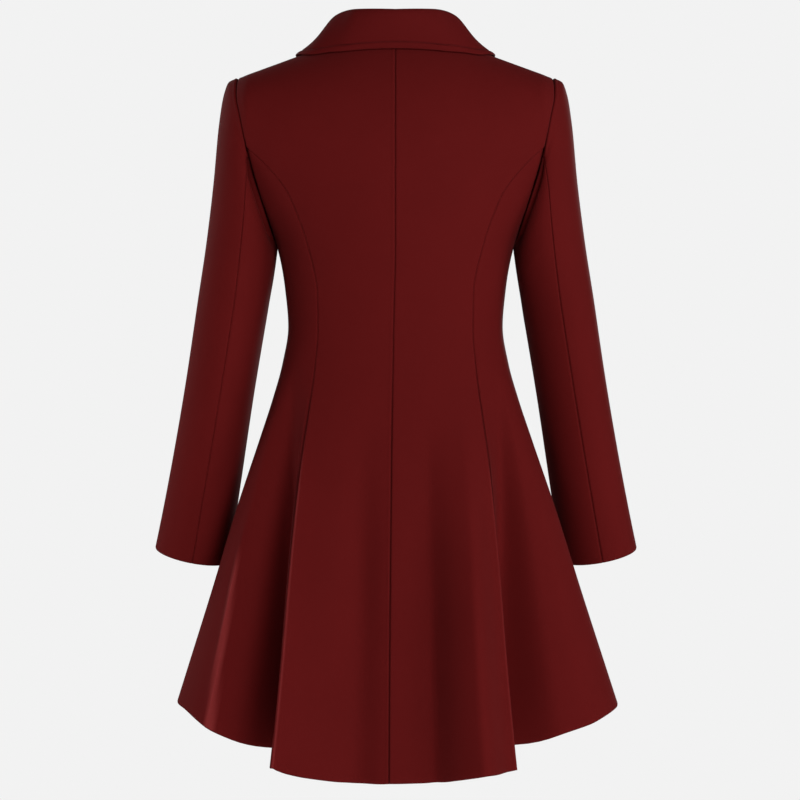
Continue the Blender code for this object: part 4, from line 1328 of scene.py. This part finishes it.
# ================================================== stitches and fastening
def thread_bars(name, bars, sides=6):
    """Short bars of thread: each a row of points, their normals and radii
    across and up."""
    points, faces = [], []
    for path, normal, wide, high in bars:
        path, normal = np.asarray(path, float), np.asarray(normal, float)
        along = unit(np.gradient(path, axis=0))
        across = unit(np.cross(along, normal))
        base = len(points)
        ends = np.full(len(path), 1.0)
        ends[0] = ends[-1] = 0.45
        for i in range(len(path)):
            for k in range(sides):
                a = 2 * math.pi * k / sides
                points.append(path[i] + ends[i] * (
                    across[i] * wide * math.cos(a)
                    + normal[i] * high * math.sin(a)))
        for i in range(len(path) - 1):
            for k in range(sides):
                a, b = base + i * sides + k, base + i * sides + (k + 1) % sides
                faces.append((a, a + sides, b + sides, b))
        last = base + (len(path) - 1) * sides
        faces.append(tuple(base + k for k in range(sides)))
        faces.append(tuple(last + sides - 1 - k for k in range(sides)))
    mesh = bpy.data.meshes.new(name)
    mesh.from_pydata([tuple(q) for q in points], [], faces)
    bm = bmesh.new()
    bm.from_mesh(mesh)
    bmesh.ops.recalc_face_normals(bm, faces=bm.faces)
    bm.to_mesh(mesh)
    bm.free()
    mesh.shade_smooth()
    return show(name, mesh, THREAD, [])


def stitch_line(path, normal, pitch, length, wide, high, sink):
    """Bars of thread set along a path."""
    run = np.concatenate(([0.0], np.cumsum(
        np.linalg.norm(np.diff(path, axis=0), axis=1))))
    bars = []
    for start in np.arange(pitch * 0.4, run[-1] - length, pitch):
        at = start + length * np.array((0.0, 0.2, 0.5, 0.8, 1.0))
        pts = np.stack([np.interp(at, run, path[:, k]) for k in range(3)], -1)
        nrm = unit(np.stack([np.interp(at, run, normal[:, k])
                             for k in range(3)], -1))
        dive = np.array((1.0, 0.35, 0.0, 0.35, 1.0))[:, None]
        bars.append((pts - nrm * (sink + high * 0.9 * dive), nrm, wide, high))
    return bars


# edge stitching on the collar's fall: along its edge and up its two ends
fall_rows = slice(STAND_ROWS + 4, None)
edge_path, edge_normal = [], []
for c in range(outer.shape[1]):
    if to_end[-1, c] < STITCH_IN:
        continue
    run = to_edge[fall_rows, c][::-1]
    edge_path.append([np.interp(STITCH_IN, run, outer[fall_rows, c, k][::-1])
                      for k in range(3)])
    edge_normal.append([np.interp(STITCH_IN, run, normal[fall_rows, c, k][::-1])
                        for k in range(3)])
bars = stitch_line(np.array(edge_path), np.array(edge_normal), 0.0034, 0.0027,
                   0.00026, 0.00020, 0.00002)
for flip in (False, True):
    end_path, end_normal = [], []
    for r in range(STAND_ROWS + 6, outer.shape[0]):
        if to_edge[r, 0] < STITCH_IN:
            break
        run = run_u[r] if not flip else (run_u[r, -1:] - run_u[r])[::-1]
        order = slice(None) if not flip else slice(None, None, -1)
        end_path.append([np.interp(STITCH_IN, run, outer[r, order, k])
                         for k in range(3)])
        end_normal.append([np.interp(STITCH_IN, run, normal[r, order, k])
                           for k in range(3)])
    bars += stitch_line(np.array(end_path), np.array(end_normal), 0.0034,
                        0.0027, 0.00026, 0.00020, 0.00002)
collar_stitches = thread_bars("collar_stitches", bars)


def front_at(side, x, z):
    """The front's outer face near the centre line."""
    grid = FRONTS[side]
    low = grid[:LOW_ROWS + 1]
    xs = np.array([np.interp(z, low[:, i, 2], low[:, i, 0])
                   for i in range(low.shape[1])])
    ys = np.array([np.interp(z, low[:, i, 2], low[:, i, 1])
                   for i in range(low.shape[1])])
    order = np.argsort(xs)
    return float(np.interp(x, xs[order], ys[order]))


HOLE_INNER, HOLE_OUTER = -0.0235, 0.0030    # buttonhole, either way from centre
HOLE_LIP = 0.0011
bars = []
for n in range(BUTTON_COUNT):
    z0 = BUTTON_TOP_Z - n * BUTTON_PITCH
    # bars of thread side by side round the slit
    loop = [(x, +1) for x in np.arange(HOLE_INNER, HOLE_OUTER, 0.00062)]
    for x, lip in loop + [(x, -lip) for x, lip in loop]:
        pts, nrm = [], []
        for h in np.linspace(0.00012, HOLE_LIP * 1.75, 4):
            z = z0 + lip * h
            d = 0.002
            slope_z = (front_at(-1, x, z + d) - front_at(-1, x, z - d)) / 2 / d
            slope_x = (front_at(-1, x + d, z) - front_at(-1, x - d, z)) / 2 / d
            face = unit(np.array((slope_x, -1.0, slope_z)))
            pts.append(np.array((x, front_at(-1, x, z), z)) + face * 0.00010)
            nrm.append(face)
        bars.append((pts, nrm, 0.00030, 0.00026))
    for x_end, sense in ((HOLE_INNER, -1.0), (HOLE_OUTER, 1.0)):
        pts, nrm = [], []
        for h in np.linspace(-HOLE_LIP * 1.9, HOLE_LIP * 1.9, 5):
            x = x_end + sense * 0.0003
            face = np.array((0.0, -1.0, 0.0))
            pts.append(np.array((x, front_at(-1, x, z0 + h), z0 + h))
                       + face * 0.0002)
            nrm.append(face)
        bars.append((pts, nrm, 0.00055, 0.00034))
buttonholes = thread_bars("buttonhole_stitches", bars, 5)


def button_mesh():
    """A sewn-through button: a round rim, a dished middle and four holes."""
    r = BUTTON_RADIUS
    half = BUTTON_DEPTH / 2
    profile = [(0.0, -half), (r * 0.62, -half), (r * 0.86, -half * 0.86),
               (r * 0.965, -half * 0.5), (r, 0.0), (r * 0.985, half * 0.45),
               (r * 0.945, half * 0.80), (r * 0.885, half * 0.985),
               (r * 0.82, half), (r * 0.755, half * 0.95),
               (r * 0.69, half * 0.78), (r * 0.62, half * 0.50),
               (r * 0.55, half * 0.33), (r * 0.46, half * 0.25), (0.0, half * 0.22)]
    bm = bmesh.new()
    around = 64
    rings = []
    for rad, h in profile:
        if rad == 0.0:
            rings.append([bm.verts.new((0.0, 0.0, h))])
        else:
            rings.append([bm.verts.new((rad * math.cos(a), rad * math.sin(a), h))
                          for a in np.linspace(0, 2 * math.pi, around + 1)[:-1]])
    for low, high in zip(rings[:-1], rings[1:]):
        for k in range(around):
            m = (k + 1) % around
            ring = [low[k % len(low)], low[m % len(low)], high[m % len(high)],
                    high[k % len(high)]]
            bm.faces.new(list(dict.fromkeys(ring)))
    bmesh.ops.recalc_face_normals(bm, faces=bm.faces)
    body = bpy.data.meshes.new("button_body")
    bm.to_mesh(body)
    bm.free()
    bm = bmesh.new()
    for sx in (-1, 1):
        for sy in (-1, 1):
            made = bmesh.ops.create_cone(bm, cap_ends=True, segments=20,
                                         radius1=0.00105, radius2=0.00105,
                                         depth=BUTTON_DEPTH * 2)
            bmesh.ops.translate(bm, verts=made["verts"],
                                vec=(sx * 0.0021, sy * 0.0021, 0.0))
    drill = bpy.data.meshes.new("button_drill")
    bm.to_mesh(drill)
    bm.free()
    solid = bpy.data.objects.new("button_body", body)
    cutter = bpy.data.objects.new("button_drill", drill)
    for o in (solid, cutter):
        bpy.context.scene.collection.objects.link(o)
    cut = solid.modifiers.new("holes", "BOOLEAN")
    cut.object, cut.operation, cut.solver = cutter, "DIFFERENCE", "EXACT"
    graph = bpy.context.evaluated_depsgraph_get()
    done = bpy.data.meshes.new_from_object(solid.evaluated_get(graph))
    for o in (solid, cutter):
        bpy.data.objects.remove(o)
    done.shade_smooth()
    done.set_sharp_from_angle(angle=math.radians(50))
    return done


BUTTON_MESH = button_mesh()
bars = []
for n in range(BUTTON_COUNT):
    label = "button_%d" % (n + 1)
    z = BUTTON_TOP_Z - n * BUTTON_PITCH
    lean = math.atan2(front_at(-1, 0.0, z + BUTTON_RADIUS)
                      - front_at(-1, 0.0, z - BUTTON_RADIUS), 2 * BUTTON_RADIUS)
    low, high = (Vector(v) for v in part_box(label))
    turn = Matrix.Rotation(math.pi / 2 - lean, 4, "X") \
        @ Matrix.Rotation(math.radians((17, -8, 31, 5, -21)[n]), 4, "Z")
    place = Matrix.Translation((low + high) / 2) @ turn
    mesh = BUTTON_MESH.copy()
    mesh.transform(place)
    show(label + "_sewn", mesh, RESIN, [label])
    # two strands of thread over each pair of holes
    for sy in (-1, 1):
        for aside in (-0.00030, 0.00030):
            pts = []
            for t in np.linspace(-1, 1, 9):
                top = BUTTON_DEPTH * 0.11 + 0.00055 * (1 - t * t) \
                    - 0.0011 * max(0.0, abs(t) - 0.72) / 0.28
                pts.append(place @ Vector((t * 0.0021, sy * 0.0021 + aside,
                                           top)))
            face = (turn @ Vector((0.0, 0.0, 1.0))).to_tuple()
            bars.append((pts, [face] * len(pts), 0.00032, 0.00032))
button_thread = thread_bars("button_thread", bars)

# ============================================================== stage, camera
CAMERA_FROM = Vector((-0.0056, 2.4, -0.425))
PIXELS, FOCAL_PIXELS = 800, 1935.5
camera = bpy.data.cameras.new("camera")
camera.sensor_width = 36.0
camera.lens = FOCAL_PIXELS / PIXELS * camera.sensor_width
camera.clip_start, camera.clip_end = 0.05, 60.0
viewer = bpy.data.objects.new("camera", camera)
viewer.location = CAMERA_FROM
viewer.rotation_euler = (math.pi / 2, 0.0, math.pi)
bpy.context.scene.collection.objects.link(viewer)
bpy.context.scene.camera = viewer

PALE = 0.888
FLOOR_Z, FLOOR_RADIUS = -1.42, 2.3
bm = bmesh.new()
bmesh.ops.create_circle(bm, cap_ends=True, segments=96, radius=FLOOR_RADIUS)
floor_mesh = bpy.data.meshes.new("floor")
bm.to_mesh(floor_mesh)
bm.free()
floor = bpy.data.objects.new("floor", floor_mesh)
floor.location = (0.0, 0.0, FLOOR_Z)
bpy.context.scene.collection.objects.link(floor)
floor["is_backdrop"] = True
mat = bpy.data.materials.new("pale_floor")
mat.use_nodes = True
tree = mat.node_tree
tree.nodes.clear()
where = node(tree, "ShaderNodeTexCoord", (-900, 0))
length = node(tree, "ShaderNodeVectorMath", (-700, 0), operation="LENGTH")
fade = node(tree, "ShaderNodeMapRange", (-500, 0),
            interpolation_type="SMOOTHSTEP")
fade.inputs["From Min"].default_value = 0.55
fade.inputs["From Max"].default_value = FLOOR_RADIUS * 0.97
matte = node(tree, "ShaderNodeBsdfDiffuse", (-500, 200))
matte.inputs["Color"].default_value = (0.86, 0.86, 0.86, 1.0)
glow = node(tree, "ShaderNodeEmission", (-500, -250))
glow.inputs["Color"].default_value = (PALE, PALE, PALE, 1.0)
mix = node(tree, "ShaderNodeMixShader", (-200, 0))
out = node(tree, "ShaderNodeOutputMaterial", (0, 0))
tree.links.new(where.outputs["Object"], length.inputs[0])
tree.links.new(length.outputs["Value"], fade.inputs["Value"])
path = node(tree, "ShaderNodeLightPath", (-500, 420))
plain = node(tree, "ShaderNodeMath", (-330, 60), operation="MULTIPLY")
tree.links.new(fade.outputs["Result"], plain.inputs[0])
tree.links.new(path.outputs["Is Camera Ray"], plain.inputs[1])
tree.links.new(plain.outputs[0], mix.inputs["Fac"])
tree.links.new(matte.outputs[0], mix.inputs[1])
tree.links.new(glow.outputs[0], mix.inputs[2])
tree.links.new(mix.outputs[0], out.inputs["Surface"])
floor_mesh.materials.append(mat)

world = bpy.data.worlds.new("studio")
bpy.context.scene.world = world
world.use_nodes = True
tree = world.node_tree
tree.nodes.clear()
seen = node(tree, "ShaderNodeBackground", (-300, 120))
seen.inputs["Color"].default_value = (PALE, PALE, PALE, 1.0)
lit = node(tree, "ShaderNodeBackground", (-300, -60))
lit.inputs["Color"].default_value = (1.0, 1.0, 1.0, 1.0)
lit.inputs["Strength"].default_value = 0.03
path = node(tree, "ShaderNodeLightPath", (-520, 300))
mix = node(tree, "ShaderNodeMixShader", (-60, 0))
out = node(tree, "ShaderNodeOutputWorld", (140, 0))
tree.links.new(path.outputs["Is Camera Ray"], mix.inputs["Fac"])
tree.links.new(lit.outputs[0], mix.inputs[1])
tree.links.new(seen.outputs[0], mix.inputs[2])
tree.links.new(mix.outputs[0], out.inputs["Surface"])

# soft boxes: turned from the camera's side towards its right, lifted, away
# from the coat's middle, width and height, power
LIGHT_COLUMNS = ("name", "turn", "lift", "away", "wide", "high", "watts")
LIGHTS = (
    ("key", 25.0, 5.0, 3.4, 1.4, 1.4, 34.0),
    ("key_near", 15.0, 5.0, 3.4, 1.4, 1.4, 21.0),
    ("key_high", 25.0, 30.0, 3.4, 1.4, 1.4, 16.0),
    ("side", 65.0, 10.0, 3.4, 1.4, 1.4, 30.0),
    ("side_rear", 100.0, 30.0, 3.4, 1.4, 1.4, 10.0),
    ("fill", -40.0, 10.0, 3.4, 1.4, 1.4, 10.0),
    ("fill_rear", -130.0, 25.0, 3.4, 1.4, 1.4, 30.0),
    ("strip", -57.0, 1.3, 1.01, 0.25, 1.1, 0.7),
    ("strip_rear", -93.0, 1.3, 0.85, 0.25, 1.1, 2.2),
    ("front", 158.0, 12.0, 3.4, 1.4, 1.4, 46.0),
    ("front_fill", -160.0, 20.0, 3.4, 1.4, 1.4, 14.0),
)
MIDDLE = Vector((0.0, 0.0, -0.42))
for label, turn, lift, away, wide, high, watts in LIGHTS:
    turn, lift = math.radians(turn), math.radians(lift)
    towards = Vector((-math.sin(turn) * math.cos(lift),
                      math.cos(turn) * math.cos(lift), math.sin(lift)))
    lamp = bpy.data.lights.new(label, "AREA")
    lamp.shape = "RECTANGLE"
    lamp.size, lamp.size_y = wide, high
    lamp.energy = watts
    holder = bpy.data.objects.new(label, lamp)
    holder.location = MIDDLE + towards * away
    holder.rotation_mode = "QUATERNION"
    holder.rotation_quaternion = (-towards).to_track_quat("-Z", "Y")
    holder.visible_camera = False
    holder.visible_glossy = not label.startswith("strip")
    bpy.context.scene.collection.objects.link(holder)

bpy.context.scene.view_settings.view_transform = "Standard"
bpy.context.scene.view_settings.look = "None"

# =================================================================== the cut
for label, piece in pieces.items():
    width, length, area = CUTS[label]
    kind, _, side_name = label.rpartition("_")

low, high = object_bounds()
